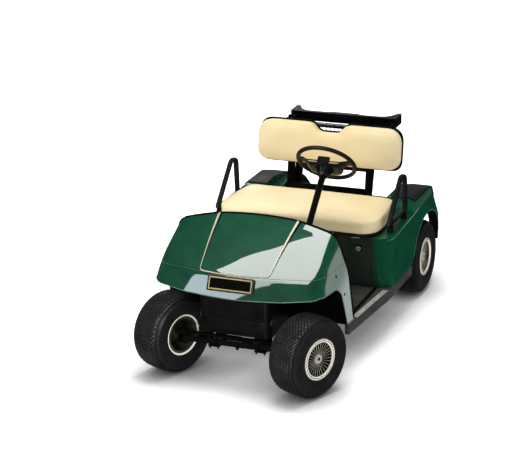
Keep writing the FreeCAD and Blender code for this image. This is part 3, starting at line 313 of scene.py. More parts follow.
# vacuum-metallised plastic of the vanes, the hub cap, the key's bezel and the clip above it
METALLISED = Finish("metallised ABS", "cover_black", "#fbf6e6", "#e9e3d0", 0.24, Relief.PEEL, 9.0, 0.02,
                    metallic=0.6)
# zinc-plated fasteners
ZINC = Finish("zinc plated steel", "plated_steel", "#cfcfcd", "#a5a5a2", 0.3, Relief.BRUSHED, 1.5, 0.05,
              metallic=1.0)
# phosphated spring steel
SPRING = Finish("phosphated spring steel", "spring_steel", "#26272a", "#191a1c", 0.45, Relief.CAST, 5.0, 0.15,
                metallic=0.3)
# painted iron castings of the axles and knuckles
CASTING = Finish("painted iron casting", "cast_iron", "#0e0e0e", "#080808", 0.5, Relief.CAST, 4.0, 0.4,
                 specular=0.16)
# dipped and baked enamel of the motor's steel case
MOTOR_ENAMEL = Finish("motor enamel", "motor_paint", "#17181a", "#101113", 0.36, Relief.PEEL, 7.0, 0.08)
# injection-moulded battery cases with upright ribs
BATTERY_PP = Finish("battery case polypropylene", "battery_case", "#1d1d1e", "#151516", 0.5, Relief.RIBS,
                    30.0, 1.0)
# sawn plywood of the seat board under a dark sealer
SEALED_PLY = Finish("sealed plywood", "seat_board", "#2a221b", "#1c1611", 0.55, Relief.WOOD, 8.0, 0.2)
# drawn steel wire under a dipped black coat
COATED_WIRE = Finish("coated wire", "basket_wire", "#141415", "#0d0d0e", 0.35, Relief.PEEL, 3.0, 0.05)
# gold hot-stamped foil and cream enamel of the plate's border
STAMPED_GOLD = Finish("stamped cream-gold border", "badge_black", "#e9d9a0", "#d8c486", 0.3, Relief.PEEL,
                      5.0, 0.03, metallic=0.25, coat=0.4)
# polished black acrylic of the nose plate and of the field behind the key
PLATE_BLACK = Finish("gloss black plate", "badge_black", "#0e0f0b", "#0a0a08", 0.18, Relief.PEEL, 9.0, 0.02,
                     coat=0.4, specular=0.3)
# metallised bevel round the acrylic plate
BRIGHT_BEVEL = Finish("bright bevelled acrylic", "badge_black", "#c9cfca", "#9fa6a1", 0.15, Relief.PEEL,
                      9.0, 0.02, metallic=0.7)
# painted highlight in cream-gold along the hood's raised step, standing for the light on its bevel
STEP_HIGHLIGHT = Finish("cream step highlight", "body_green", "#d3ceb0", "#bdb896", 0.35, Relief.PEEL, 9.0, 0.02)


# ---- mesh helpers ----
def as_lists(faces: Array | list) -> list:
    """Rows of vertex numbers as plain lists."""
    return faces.tolist() if isinstance(faces, np.ndarray) else faces


@dataclass
class Workshop:
    """Knows the frame, places millimetre points in it and turns grids into pieces."""

    frame: dict

    def __post_init__(self) -> None:
        """Finds how far the front axle stands from the frame's origin."""
        low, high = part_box("front_axle")
        self.axle_y = (low.y + high.y) / 2

    def place(self, points: Array) -> Array:
        """Millimetres from the front axle as metres in the frame: scaled, then moved along Y.

        Args:
            points: array of shape (..., 3).

        Returns:
            Array of shape (n, 3).
        """
        flat = np.asarray(points, float).reshape(-1, 3) / 1000
        return flat + (0.0, self.axle_y, 0.0)

    def piece(self, name: str, points: Array, faces: Array | list, finish: Finish, body: str = "chassis",
              replaces: Sequence[str] = (), sharp: float | None = None,
              closed: bool = True) -> bpy.types.Object:
        """Makes a piece from millimetre points, dresses it and lets it ride on a body.

        Args:
            name: the piece's name.
            points: array of shape (..., 3) in millimetres.
            faces: rows of vertex numbers.
            finish: the finish of the whole piece.
            body: the CAD body that it rides on.
            replaces: CAD nodes that it stands for.
            sharp: angle in degrees above which an edge stays crisp.
            closed: the piece is a closed skin, whose faces are turned outwards.

        Returns:
            The new object.
        """
        mesh = bpy.data.meshes.new(name)
        mesh.from_pydata(self.place(points).tolist(), [], as_lists(faces))
        mesh.validate()
        if closed:
            work = bmesh.new()
            work.from_mesh(mesh)
            bmesh.ops.remove_doubles(work, verts=work.verts, dist=1e-6)
            bmesh.ops.recalc_face_normals(work, faces=work.faces)
            work.to_mesh(mesh)
            work.free()
        return self.dress(name, mesh, finish, body, replaces, sharp)

    def dress(self, name: str, mesh: bpy.types.Mesh, finish: Finish, body: str,
              replaces: Sequence[str] = (), sharp: float | None = None) -> bpy.types.Object:
        """Object for a finished mesh, shaded smooth, with its material and body.

        Args:
            name: the piece's name.
            mesh: mesh in the frame's metres.
            finish: the finish of the whole piece.
            body: the CAD body that it rides on.
            replaces: CAD nodes that it stands for.
            sharp: angle in degrees above which an edge stays crisp.

        Returns:
            The new object.
        """
        mesh.shade_smooth()
        if sharp is not None:
            mesh.set_sharp_from_angle(angle=math.radians(sharp))
        mesh.materials.clear()
        mesh.materials.append(finish.material())
        piece = bpy.data.objects.new(name, mesh)
        bpy.context.scene.collection.objects.link(piece)
        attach(piece, body)
        if replaces:
            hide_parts(*replaces)
        LOG.info("%s: %d faces, rides on %s", name, len(mesh.polygons), body)
        return piece

    def softened(self, node: str, finish: Finish, radius: float, segments: int = 2,
                 angle: float = 30.0, name: str = "") -> bpy.types.Object:
        """Copy of a CAD node, merged, with its flat faces joined and its edges rounded, in its place.

        Args:
            node: the CAD node.
            finish: the finish of the copy.
            radius: how far the rounding reaches from each edge, in millimetres.
            segments: faces across each rounding.
            angle: edges sharper than this many degrees are rounded.
            name: name of the copy, or the node's with a suffix.

        Returns:
            The new object, which stands for the node.
        """
        source = self.frame["nodes"][node]
        mesh = source.data.copy()
        work = bmesh.new()
        work.from_mesh(mesh)
        bmesh.ops.remove_doubles(work, verts=work.verts, dist=1e-5)
        bmesh.ops.dissolve_limit(work, angle_limit=math.radians(0.6), verts=work.verts, edges=work.edges)
        work.to_mesh(mesh)
        work.free()
        piece = self.dress(name or node + "_soft", mesh, finish, source["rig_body"], [node], 38)
        bevel = piece.modifiers.new("rounding", "BEVEL")
        bevel.width = radius / 1000
        bevel.segments = segments
        bevel.limit_method = "ANGLE"
        bevel.angle_limit = math.radians(angle)
        bevel.miter_outer = "MITER_ARC"
        bevel.harden_normals = True
        return piece

    def paint(self, node: str, finish: Finish) -> None:
        """Gives a CAD node, whose shape stays, its finish.

        Args:
            node: the CAD node.
            finish: its finish.
        """
        mesh = self.frame["nodes"][node].data
        mesh.materials.clear()
        mesh.materials.append(finish.material())


def vertex_rows(mesh: bpy.types.Mesh, what: str) -> Array:
    """Places ("co") or normals ("normal") of a mesh's vertices.

    Args:
        mesh: the mesh, in metres.
        what: name of the vertices' property.

    Returns:
        Array of shape (n, 3).
    """
    flat = np.empty(len(mesh.vertices) * 3)
    mesh.vertices.foreach_get(what, flat)
    return flat.reshape(-1, 3)


def grid_faces(rows: int, columns: int, wrap_rows: bool = False, wrap_columns: bool = False) -> Array:
    """Quads of a grid: each joins point (i, j) with (i+1, j), (i+1, j+1) and (i, j+1).

    Args:
        rows: points along the first direction.
        columns: points along the second direction.
        wrap_rows: joins the last row to the first.
        wrap_columns: joins the last column to the first.

    Returns:
        Array of shape (quads, 4).
    """
    i, j = np.meshgrid(np.arange(rows if wrap_rows else rows - 1),
                       np.arange(columns if wrap_columns else columns - 1), indexing="ij")
    up, along = (i + 1) % rows, (j + 1) % columns
    quads = np.stack([i * columns + j, up * columns + j, up * columns + along, i * columns + along], -1)
    return quads.reshape(-1, 4)


def capped(rings: Array, flip: bool = False) -> tuple[Array, list]:
    """Rings of points joined in order by quads, with one face over each end.

    Args:
        rings: array of shape (rings, points, 3).
        flip: turns every face round.

    Returns:
        The rings and the faces.
    """
    count, n = rings.shape[:2]
    faces = grid_faces(count, n, wrap_columns=True).tolist()
    faces += [list(range(n)), list(range(count * n - 1, (count - 1) * n - 1, -1))]
    return rings, [face[::-1] for face in faces] if flip else faces


def tube(path: Array, radius: float | Array, sides: int = 12, reference: Sequence[float] = (0, 0, 1),
         flatten: float = 1.0, closed: bool = False) -> tuple[Array, Array | list]:
    """Round bar along a path: ring angle a at path point p gives p + r (cos a side + flatten sin a up).

    Args:
        path: points of shape (n, 3).
        radius: one radius, or one for each point.
        sides: points around the bar.
        reference: direction that the section's second axis leans towards.
        flatten: height of the section over its width.
        closed: joins the bar's ends.

    Returns:
        Points of shape (n, sides, 3) and the faces.
    """
    path = np.asarray(path, float)
    if closed:
        run = np.roll(path, -1, 0) - np.roll(path, 1, 0)
    else:
        run = np.gradient(path, axis=0)
    run /= np.linalg.norm(run, axis=1, keepdims=True)
    side = np.cross(run, np.asarray(reference, float))
    side /= np.maximum(np.linalg.norm(side, axis=1, keepdims=True), 1e-9)
    up = np.cross(side, run)
    angle = np.linspace(0, 2 * np.pi, sides, endpoint=False)
    reach = np.broadcast_to(np.asarray(radius, float), (len(path),))[:, None, None]
    ring = np.cos(angle)[None, :, None] * side[:, None] + flatten * np.sin(angle)[None, :, None] * up[:, None]
    points = path[:, None] + reach * ring
    if closed:
        return points, grid_faces(len(path), sides, wrap_rows=True, wrap_columns=True)
    return capped(points)


def spun(profile: Array, steps: int) -> tuple[Array, Array]:
    """Surface of revolution about the X axis: profile point (x, r) at angle a gives (x, r cos a, r sin a).

    Args:
        profile: (x, radius) points of shape (n, 2), ends on the axis or joined by the caller.
        steps: points around the axis.

    Returns:
        Points of shape (n, steps, 3) and quads.
    """
    angle = np.linspace(0, 2 * np.pi, steps, endpoint=False)
    x, r = np.asarray(profile, float).T
    points = np.stack([np.broadcast_to(x[:, None], (len(x), steps)), r[:, None] * np.cos(angle),
                       r[:, None] * np.sin(angle)], -1)
    return points, grid_faces(len(x), steps, wrap_columns=True)


def rounded(points: Sequence[tuple[float, float, float]], closed: bool = True, steps: int = 5) -> Array:
    """Outline with rounded corners: each corner becomes an arc that touches both of its sides.

    Args:
        points: (a, b, radius) corners.
        closed: the last corner joins the first.
        steps: points on each arc.

    Returns:
        Points of shape (n, 2).
    """
    table = np.asarray(points, float)
    corner, radius = table[:, :2], table[:, 2]
    before = np.roll(corner, 1, 0) - corner
    after = np.roll(corner, -1, 0) - corner
    before /= np.maximum(np.linalg.norm(before, axis=1, keepdims=True), 1e-9)
    after /= np.maximum(np.linalg.norm(after, axis=1, keepdims=True), 1e-9)
    half = np.arccos(np.clip((before * after).sum(1), -1, 1)) / 2
    if not closed:
        radius = radius.copy()
        radius[[0, -1]] = 0
    reach = radius / np.maximum(np.tan(half), 1e-6)
    t = np.linspace(0, 1, steps)[None, :, None]
    start = corner + before * reach[:, None]
    end = corner + after * reach[:, None]
    curve = (1 - t) ** 2 * start[:, None] + 2 * t * (1 - t) * corner[:, None] + t ** 2 * end[:, None]
    flat = curve.reshape(-1, 2)
    keep = np.linalg.norm(flat - np.roll(flat, 1, 0), axis=1) > 1e-6
    keep[0] = True
    return flat[keep]


def resampled(points: Array, count: int) -> Array:
    """Points at even steps along a polyline: each coordinate interpolated over the running length.

    Args:
        points: array of shape (n, k).
        count: how many points to give.

    Returns:
        Array of shape (count, k).
    """
    length = np.concatenate([[0], np.cumsum(np.linalg.norm(np.diff(points, axis=0), axis=1))])
    at = np.linspace(0, length[-1], count)
    return np.stack([np.interp(at, length, points[:, k]) for k in range(points.shape[1])], 1)


def smooth_max(a: Array, b: Array, reach: float | Array) -> Array:
    """The larger of two fields, rounded where they differ by less than the reach."""
    gap = np.maximum(reach - np.abs(a - b), 0)
    return np.maximum(a, b) + gap * gap / (4 * reach)


def smooth_step(t: Array) -> Array:
    """3t^2 - 2t^3 of t held between 0 and 1."""
    t = np.clip(t, 0, 1)
    return t * t * (3 - 2 * t)


def soft_ramp(t: Array, width: float) -> Array:
    """Zero below and t above, rounded over the width: half of t plus the root of t^2 + width^2."""
    return (t + np.sqrt(t * t + width * width)) / 2


def joined(parts: Sequence[tuple[Array, Array | list]]) -> tuple[Array, list]:
    """Several (points, faces) pairs as one, with the later faces counted on.

    Args:
        parts: the points and the faces of each.

    Returns:
        Points of shape (n, 3) and lists of vertex numbers.
    """
    points, faces, offset = [], [], 0
    for part_points, part_faces in parts:
        flat = np.asarray(part_points, float).reshape(-1, 3)
        faces += [[v + offset for v in face] for face in as_lists(part_faces)]
        points.append(flat)
        offset += len(flat)
    return np.concatenate(points), faces


def mirrored(points: Array, faces: Array | list) -> tuple[Array, list]:
    """A form and its mirror image across the cart's middle, whose faces are turned round."""
    return joined([(points, faces), (points * (-1, 1, 1), [list(face)[::-1] for face in faces])])


def bar(corners: Sequence, count: int, radius: float | Array, sides: int = 12,
        reference: Sequence[float] = (0, 0, 1), flatten: float = 1.0) -> tuple[Array, Array | list]:
    """Tube along a polyline, with rings at even steps of its length.

    Args:
        corners: points of the polyline in millimetres.
        count: rings along it.
        radius: one radius, or one for each ring.
        sides: points around the bar.
        reference: direction that the section's second axis leans towards.
        flatten: height of the section over its width.

    Returns:
        Points and faces.
    """
    return tube(resampled(np.array(corners, float), count), radius, sides, reference, flatten)


def dome(centre: Sequence[float], normal: Sequence[float], radius: float, height: float,
         sides: int = 14) -> tuple[Array, list]:
    """Domed screw head: rings of radius R cos t at height H sin t along the normal, closed at both ends.

    Args:
        centre: middle of the head's seat.
        normal: direction out of the surface.
        radius: radius of the head.
        height: height of the head.
        sides: points around the head.

    Returns:
        Points and faces.
    """
    out = np.asarray(normal, float) / np.linalg.norm(normal)
    side = np.cross(out, (0.31, 0.57, 0.76))
    side /= np.linalg.norm(side)
    other = np.cross(out, side)
    t = np.radians([-20.0, 0.0, 25.0, 50.0, 72.0])[:, None, None]
    a = np.linspace(0, 2 * np.pi, sides, endpoint=False)[None, :, None]
    ring = np.cos(a) * side + np.sin(a) * other
    return capped(np.asarray(centre, float) + radius * np.cos(t) * ring + height * np.sin(t) * out)


# ---- front body ----
@dataclass
class Cowl:
    """Hood, nose and side legs: one thin moulding with a step line, a cream band and a black band along it
    that are painted highlight and painted shade, and edge trims.
    """

    shop: Workshop
    lip_level: float = 550.0
    crease_level: float = 650.0
    tip: float = -150.0
    vee: float = 0.2239
    tip_width: float = 140.0
    rake: float = 0.443
    crease_back: float = 44.3
    stripe_gap: float = 7.0
    nose_gradient: float = 1.094
    hood_gradient: float = 1.13
    flank_shear: float = 0.45
    nose_round: float = 13.0
    rear_y: float = 352.0
    rear_level: float = 868.0
    leg_top: float = 815.0
    flank: tuple = ((1100, 373), (832, 468), (775, 488), (730, 496), (600, 528), (100, 544))
    lower: tuple = ((-300, 533, 0), (-85, 534, 30), (-57, 544, 20), (-10, 555, 40), (168, 550, 60),
                    (224, 500, 60), (300, 290, 6), (700, 290, 0))
    centre: tuple = (0.0, 900.0, 430.0)
    reach: float = 47.1
    columns: int = 191
    rows: tuple = (36, 96)
    sheet: float = 4.0

    def plan(self, x: Array) -> Array:
        """Nose line at the lip's level: a shallow V with a hyperbola's tip, vee root(x^2 + tip_width^2)."""
        return self.tip + self.vee * np.sqrt(x * x + self.tip_width ** 2)

    def field(self, points: Array) -> Array:
        """Signed gap to the outer skin: the rounded largest of the nose, hood and flank distances.

        The nose's and the hood's height errors are divided by the length of their gradients, and the
        flank's width is averaged over five levels, which rounds its corners.

        Args:
            points: array of shape (..., 3).

        Returns:
            Millimetres outside the skin, negative inside.
        """
        x, y, z = np.abs(points[..., 0]), points[..., 1], points[..., 2]
        nose = (self.plan(x) + self.rake * (z - self.lip_level) - y) / self.nose_gradient
        start = self.plan(x) + self.rake * (self.crease_level - self.lip_level)
        s = (y - start) / (self.rear_y - start)
        crown = 0.165 * soft_ramp(x - 250, 90.0) - 1.3
        rise = self.rear_level - crown - self.crease_level
        hood = (z - self.crease_level - rise * (s + 0.28 * s * (1 - s))) / self.hood_gradient
        level, width = np.array(self.flank[::-1], float).T
        along = z + self.flank_shear * (self.rear_y - y)
        side = x - sum(np.interp(along + k, level, width) for k in (-36, -18, 0, 18, 36)) / 5
        upper = smooth_max(nose, hood, self.nose_round)
        return smooth_max(upper, side, 38 + 34 * smooth_step((700 - z) / 80))

    def cast(self, azimuth: Array, elevation: Array) -> Array:
        """Points where rays from inside the cowl leave its skin, by halving the range 32 times.

        Args:
            azimuth: degrees from straight ahead, positive to the left.
            elevation: degrees above the horizon, same shape.

        Returns:
            Array with one more axis of length 3.
        """
        a, e = np.radians(azimuth), np.radians(elevation)
        ray = np.stack([np.sin(a) * np.cos(e), -np.cos(a) * np.cos(e), np.sin(e)], -1)
        near, far = np.full(a.shape, 250.0), np.full(a.shape, 1600.0)
        for _ in range(32):
            middle = (near + far) / 2
            outside = self.field(np.array(self.centre) + middle[..., None] * ray) > 0
            near, far = np.where(outside, near, middle), np.where(outside, middle, far)
        return np.array(self.centre) + near[..., None] * ray

    def rear_limit(self, points: Array) -> Array:
        """How far each point lies behind the rear edge, an arc over the hood and a slant down the legs.

        Args:
            points: array of shape (..., 3).

        Returns:
            Distances in millimetres, positive behind the edge.
        """
        x, y, z = np.abs(points[..., 0]), points[..., 1], points[..., 2]
        over = 352.5 - 46.5 * np.clip(x / 470, 0, 1.2) ** 2
        down = 306 + (self.leg_top - z) * 0.181
        return y - np.where(z > self.leg_top, np.minimum(over, down + 92), np.minimum(down, over + 400))

    def grid(self) -> Array:
        """Outer skin on a grid: columns by azimuth, rows from the lower edge over the crease to the rear.

        Returns:
            Array of shape (rows, columns, 3).
        """
        azimuth = np.linspace(-self.reach, self.reach, self.columns)
        scan = np.linspace(-16, 50, 500)
        table = self.cast(*np.meshgrid(azimuth, scan, indexing="ij"))
        outline = rounded(self.lower, closed=False, steps=8)
        above = table[..., 2] - np.interp(table[..., 1], outline[:, 0], outline[:, 1])
        start = self.crossing(above, scan)
        stop = self.crossing(self.rear_limit(table), scan)
        bend = self.crossing(table[..., 2] - self.crease_level, scan)
        bend = np.clip(bend, start + 0.2 * (stop - start), start + 0.85 * (stop - start))
        low, high = (np.linspace(0, 1, n) for n in self.rows)
        elevation = np.concatenate([start + (bend - start) * low[:, None],
                                    (bend + (stop - bend) * high[:, None])[1:]])
        return self.cast(np.broadcast_to(azimuth, elevation.shape), elevation)

    @staticmethod
    def crossing(values: Array, scan: Array) -> Array:
        """First place in each row where the values turn positive, between two samples of the scan.

        Args:
            values: one row for each azimuth.
            scan: elevation of each column.

        Returns:
            One elevation for each row.
        """
        hit = np.clip(np.argmax(values > 0, axis=1), 1, len(scan) - 1)
        row = np.arange(len(values))
        before, after = values[row, hit - 1], values[row, hit]
        part = np.clip(before / np.where(before == after, 1, before - after), 0, 1)
        return scan[hit - 1] + part * (scan[hit] - scan[hit - 1])

    def level_at(self, x: Array, y: Array) -> Array:
        """Height of the hood over plan points, by halving the range 30 times.

        Args:
            x: places across the cart.
            y: places along it.

        Returns:
            Heights in the shape of x.
        """
        low, high = np.full(np.shape(x), 560.0), np.full(np.shape(x), 960.0)
        for _ in range(30):
            middle = (low + high) / 2
            outside = self.field(np.stack([x, y, middle], -1)) > 0
            low, high = np.where(outside, low, middle), np.where(outside, middle, high)
        return low

    def stripe(self, beside: float = 0.0, share: float = 1.0) -> tuple[Array, list]:
        """Raised bevel round the hood's centre panel: a wedge section carried down one side, along the
        crease and up the other, wider towards the rear.

        Args:
            beside: how far its middle is moved towards the driver's side, in widths.
            share: part of the full width.

        Returns:
            Points and faces.
        """
        back = self.crease_back + self.stripe_gap
        corner_y = float(self.plan(np.array(206.0))) + back
        left = rounded([(-240, 335, 0), (-206, corner_y, 26), (0, -75, 0)], closed=False, steps=9)[:-1]
        left = left[left[:, 0] < -176]
        left = np.concatenate([left, [(-174, float(self.plan(np.array(174.0))) + back)]])
        middle_x = np.linspace(-166, 166, 60)
        middle = np.stack([middle_x, self.plan(middle_x) + back], 1)
        path = np.concatenate([left, middle, left[::-1] * (-1, 1)])
        path = resampled(path, 260)
        run = np.gradient(path, axis=0)
        run /= np.linalg.norm(run, axis=1, keepdims=True)
        inward = np.stack([-run[:, 1], run[:, 0]], 1)
        width = 3.5 + 15.0 * np.clip((path[:, 1] + 40) / 400, 0, 1)
        across = np.array([-0.5, -0.42, 0.42, 0.5])
        lift = np.array([-2.0, 0.9, 1.0, -2.0])[None, :] + np.array([0, 0, 0.4, 0])[None, :] * width[:, None]
        path = path + np.stack([beside * width, 0 * width], 1)
        width = share * width
        plan = path[:, None] + inward[:, None] * (across[None, :] * width[:, None])[..., None]
        level = self.level_at(plan[..., 0], plan[..., 1]) + lift
        return capped(np.concatenate([plan, level[..., None]], -1))

    def build(self) -> None:
        """Builds the moulding, the painted highlight and the painted shade along its step, the crease bead,
        the edge trims and the leg screws.
        """
        grid = self.grid()
        rows, columns = grid.shape[:2]
        skin = self.shop.piece("cowl_skin", grid, grid_faces(rows, columns)[:, ::-1], LACQUERED_ABS,
                               replaces=["front_cowl"], closed=False)
        wall = skin.modifiers.new("sheet", "SOLIDIFY")
        wall.thickness = self.sheet / 1000
        wall.offset = -1
        wall.use_even_offset = False
        # the step's bevel in cream: a painted highlight where the bevel catches the light
        self.shop.piece("hood_step_highlights", *self.stripe(), STEP_HIGHLIGHT, sharp=30)
        # black strip beside the step's highlight: painted shade of the raised step
        self.shop.piece("stripe_painted_shade", *self.stripe(0.68, 0.6), RAW_ABS, sharp=30)
        # crease bead in pale green: a painted highlight along the hood's crease
        bead_row = grid[self.rows[0] - 1, 8:-8]
        bead = bead_row[bead_row[:, 2] > self.crease_level - 4] + (0, 0, -1.0)
        self.shop.piece("crease_bead", *tube(bead, 1.3, 8), EDGE_HIGHLIGHT)
        rear = resampled(grid[-1], 260)
        spread = np.clip((np.abs(rear[:, 0]) - 380) / 110, 0, 1)
        self.shop.piece("rear_edge_trim", *tube(rear + (0, -1, 1.5), 5.4 - 0.6 * spread, 12), ETCHED_PP)
        edge = resampled(grid[0], 420)
        # lower edge roll in pale green: a painted highlight along the lip
        self.shop.piece("lower_edge_roll", *tube(edge + (0, 1.5, 0.5), 2.6, 8), EDGE_HIGHLIGHT)
        screws = []
        for y, z in ((198, 612), (270, 485)):
            level, width = np.array(self.flank[::-1], float).T
            x = float(np.interp(z + self.flank_shear * (self.rear_y - y), level, width))
            screws += [dome((side * (x + 0.4), y, z), (side, 0, 0.12), 8.0, 2.6) for side in (1, -1)]
        self.shop.piece("leg_screws", *joined(screws), ETCHED_PP)


@dataclass
class NamePlate:
    """Blank black plate on the nose with a raised cream border and a bright bevelled rim."""

    shop: Workshop
    half_width: float = 136.0
    height: float = 88.0
    lean: float = math.atan2(46, 104)
    foot: tuple = (-111.3, 568.0)
    front: float = -12.0

    def local(self, u: Array, depth: Array, v: Array) -> Array:
        """Plate coordinates to the cart's: depth and height turned back by the plate's lean.

        Args:
            u: across the plate.
            depth: into it.
            v: up along it.

        Returns:
            Points in millimetres.
        """
        y = self.foot[0] + depth * math.cos(self.lean) + v * math.sin(self.lean)
        z = self.foot[1] - depth * math.sin(self.lean) + v * math.cos(self.lean)
        return np.stack(np.broadcast_arrays(u, y, z), -1)

    def frame_ring(self, inset: float, width: float, low: float, high: float) -> tuple[Array, Array]:
        """Closed picture-frame bar with a peaked section: two rounded rectangles at two depths.

        Args:
            inset: from the plate's edge to the bar.
            width: width of the bar.
            low: depth of the bar's foot.
            high: depth of its crown.

        Returns:
            Points and faces.
        """
        loops = []
        for step, depth in ((0.0, low), (0.22, high), (0.78, high), (1.0, low)):
            d = inset + step * width
            half, bottom, top = self.half_width - d, d, self.height - d
            loop = rounded([(half, bottom, 5), (half, top, 5), (-half, top, 5), (-half, bottom, 5)], steps=4)
            loops.append(self.local(loop[:, 0], np.full(len(loop), depth), loop[:, 1]))
        points = np.stack(loops)
        return points, grid_faces(4, points.shape[1], wrap_rows=True, wrap_columns=True)[:, ::-1]

    def build(self) -> None:
        """Builds the slab, its bright rim and the cream border."""
        self.shop.softened("badge_plate", PLATE_BLACK, 2.2, 3)
        rim = self.frame_ring(0.4, 3.2, self.front + 1.6, self.front - 0.6)
        self.shop.piece("plate_bright_rim", *rim, BRIGHT_BEVEL, sharp=30)
        border = self.frame_ring(8.0, 8.5, self.front + 0.4, self.front - 1.4)
        self.shop.piece("plate_border", *border, STAMPED_GOLD, sharp=30)


@dataclass
class FrontShield:
    """Black shield below the nose with its crowned insert, and the clamps on the axle beam."""

    shop: Workshop
    half: float = 178.0
    bottom: float = 315.0
    top: float = 399.0
    face_y: float = -61.0

    def insert(self) -> tuple[Array, list]:
        """Pillow plate: rounded rectangles that shrink while they come forward by a quarter sine.

        Returns:
            Points and faces.
        """
        loops = []
        for inset, out in ((0, 6.0), (0.5, 1.5), (3, -1.0), (9, -2.6), (20, -3.4)):
            loop = rounded([(self.half - inset, self.bottom + inset, 20 - inset * 0.6),
                            (self.half - inset, self.top - inset, 20 - inset * 0.6),
                            (-self.half + inset, self.top - inset, 20 - inset * 0.6),
                            (-self.half + inset, self.bottom + inset, 20 - inset * 0.6)], steps=6)
            loops.append(np.insert(loop, 1, self.face_y + out, axis=1))
        return capped(np.stack(loops), True)

    def build(self) -> None:
        """Builds the shield, its insert, the corner bracket, the clamps and the side guards."""
        self.shop.softened("front_fascia", POLISHED_PP, 2.2, 3)
        self.shop.piece("shield_insert", *self.insert(), ETCHED_PP, sharp=50)
        self.shop.softened("splash_guards", ETCHED_PP, 2.0)
        clamps = []
        for x, drop in ((-118, 0.0), (8, 3.0), (138, 1.0)):
            for dy in (-16.0, 16.0):
                u, v = x + dy * 0.5, dy - 8
                clamps.append(bar([(u, v, 262), (u, v, 196 - drop)], 6, 4.0, 8, (1, 0, 0)))
                clamps.append(dome((u, v, 203 - drop), (0, 0, -1), 8.5, 6.0, 6))
            clamps.append(bar([(x - 15, -26, 204), (x + 15, 12, 204)], 8, 9.0, 8, (0, 0, 1), 0.35))
        self.shop.piece("beam_clamps", *joined(clamps), CASTING, sharp=35)
        bracket = [(206, -42, 372), (214, -40, 398), (226, -24, 404)]
        self.shop.piece("shield_bracket", *bar(bracket, 12, 7.0, 8, (0, 1, 0), 0.3), ZINC, sharp=35)
        pad = [(-60, -27, 247), (30, -27, 247)]
        self.shop.piece("beam_pad", *bar(pad, 6, 9.0, 4, (0, 0, 1), 0.25), ANODISED_STRIP, sharp=35)


@dataclass
class Dashboard:
    """Instrument panel between the cowl and the driver, with two tray mats."""

    shop: Workshop

    def build(self) -> None:
        """Builds the panel and the ribbed mats in its trays."""
        self.shop.softened("instrument_panel", ETCHED_PP, 3.0, 3)
        mats = []
        for side in (1, -1):
            loop = rounded([(100, 362, 14), (414, 362, 14), (414, 420, 14), (100, 420, 14)], steps=5)
            mats.append(capped(np.stack([np.insert(loop * (side, 1), 2, z, axis=1) for z in (732.0, 736.0)])))
        self.shop.piece("tray_mats", *joined(mats), PRESSED_RUBBER)


# ---- floor ----
@dataclass
class Floor:
    """Frame, floor pan, rubber mat, sills and bright step strips."""

    shop: Workshop

    def build(self) -> None:
        """Dresses the floor and adds the mat's ribs and the screws of the strips and of the mat."""
        self.shop.softened("chassis_frame", POWDER_COAT, 3.0)
        self.shop.softened("floor_pan", FLOOR_PP, 2.0)
        self.shop.softened("floor_mat", PRESSED_RUBBER, 1.4)
        self.shop.softened("sill_panels", SILL_PVC, 4.0, 3)
        self.shop.softened("step_strips", ANODISED_STRIP, 1.0)
        ribs = []
        for x in np.arange(-440, 441, 55):
            path = [(x, 872, 291), (x, 560, 291), (x, 528, 291.4), (x, 505, 311), (x, 395, 418)]
            ribs.append(bar(path, 40, 2.4, 6, (0, 0, 1), 0.7))
        self.shop.piece("mat_ribs", *joined(ribs), PRESSED_RUBBER)
        heads = []
        for side in (1, -1):
            heads += [dome((side * x, y, 290.2), (0, 0, 1), 5.5, 2.4) for x, y in
                      ((541, 460), (553, 570), (561, 690), (567, 800), (570, 858))]
            heads += [dome((side * x, y, 291.2), (0, 0, 1), 6.5, 3.0) for x, y in
                      ((478, 800), (478, 640), (478, 545))]
        self.shop.piece("step_screws", *joined(heads), ZINC)


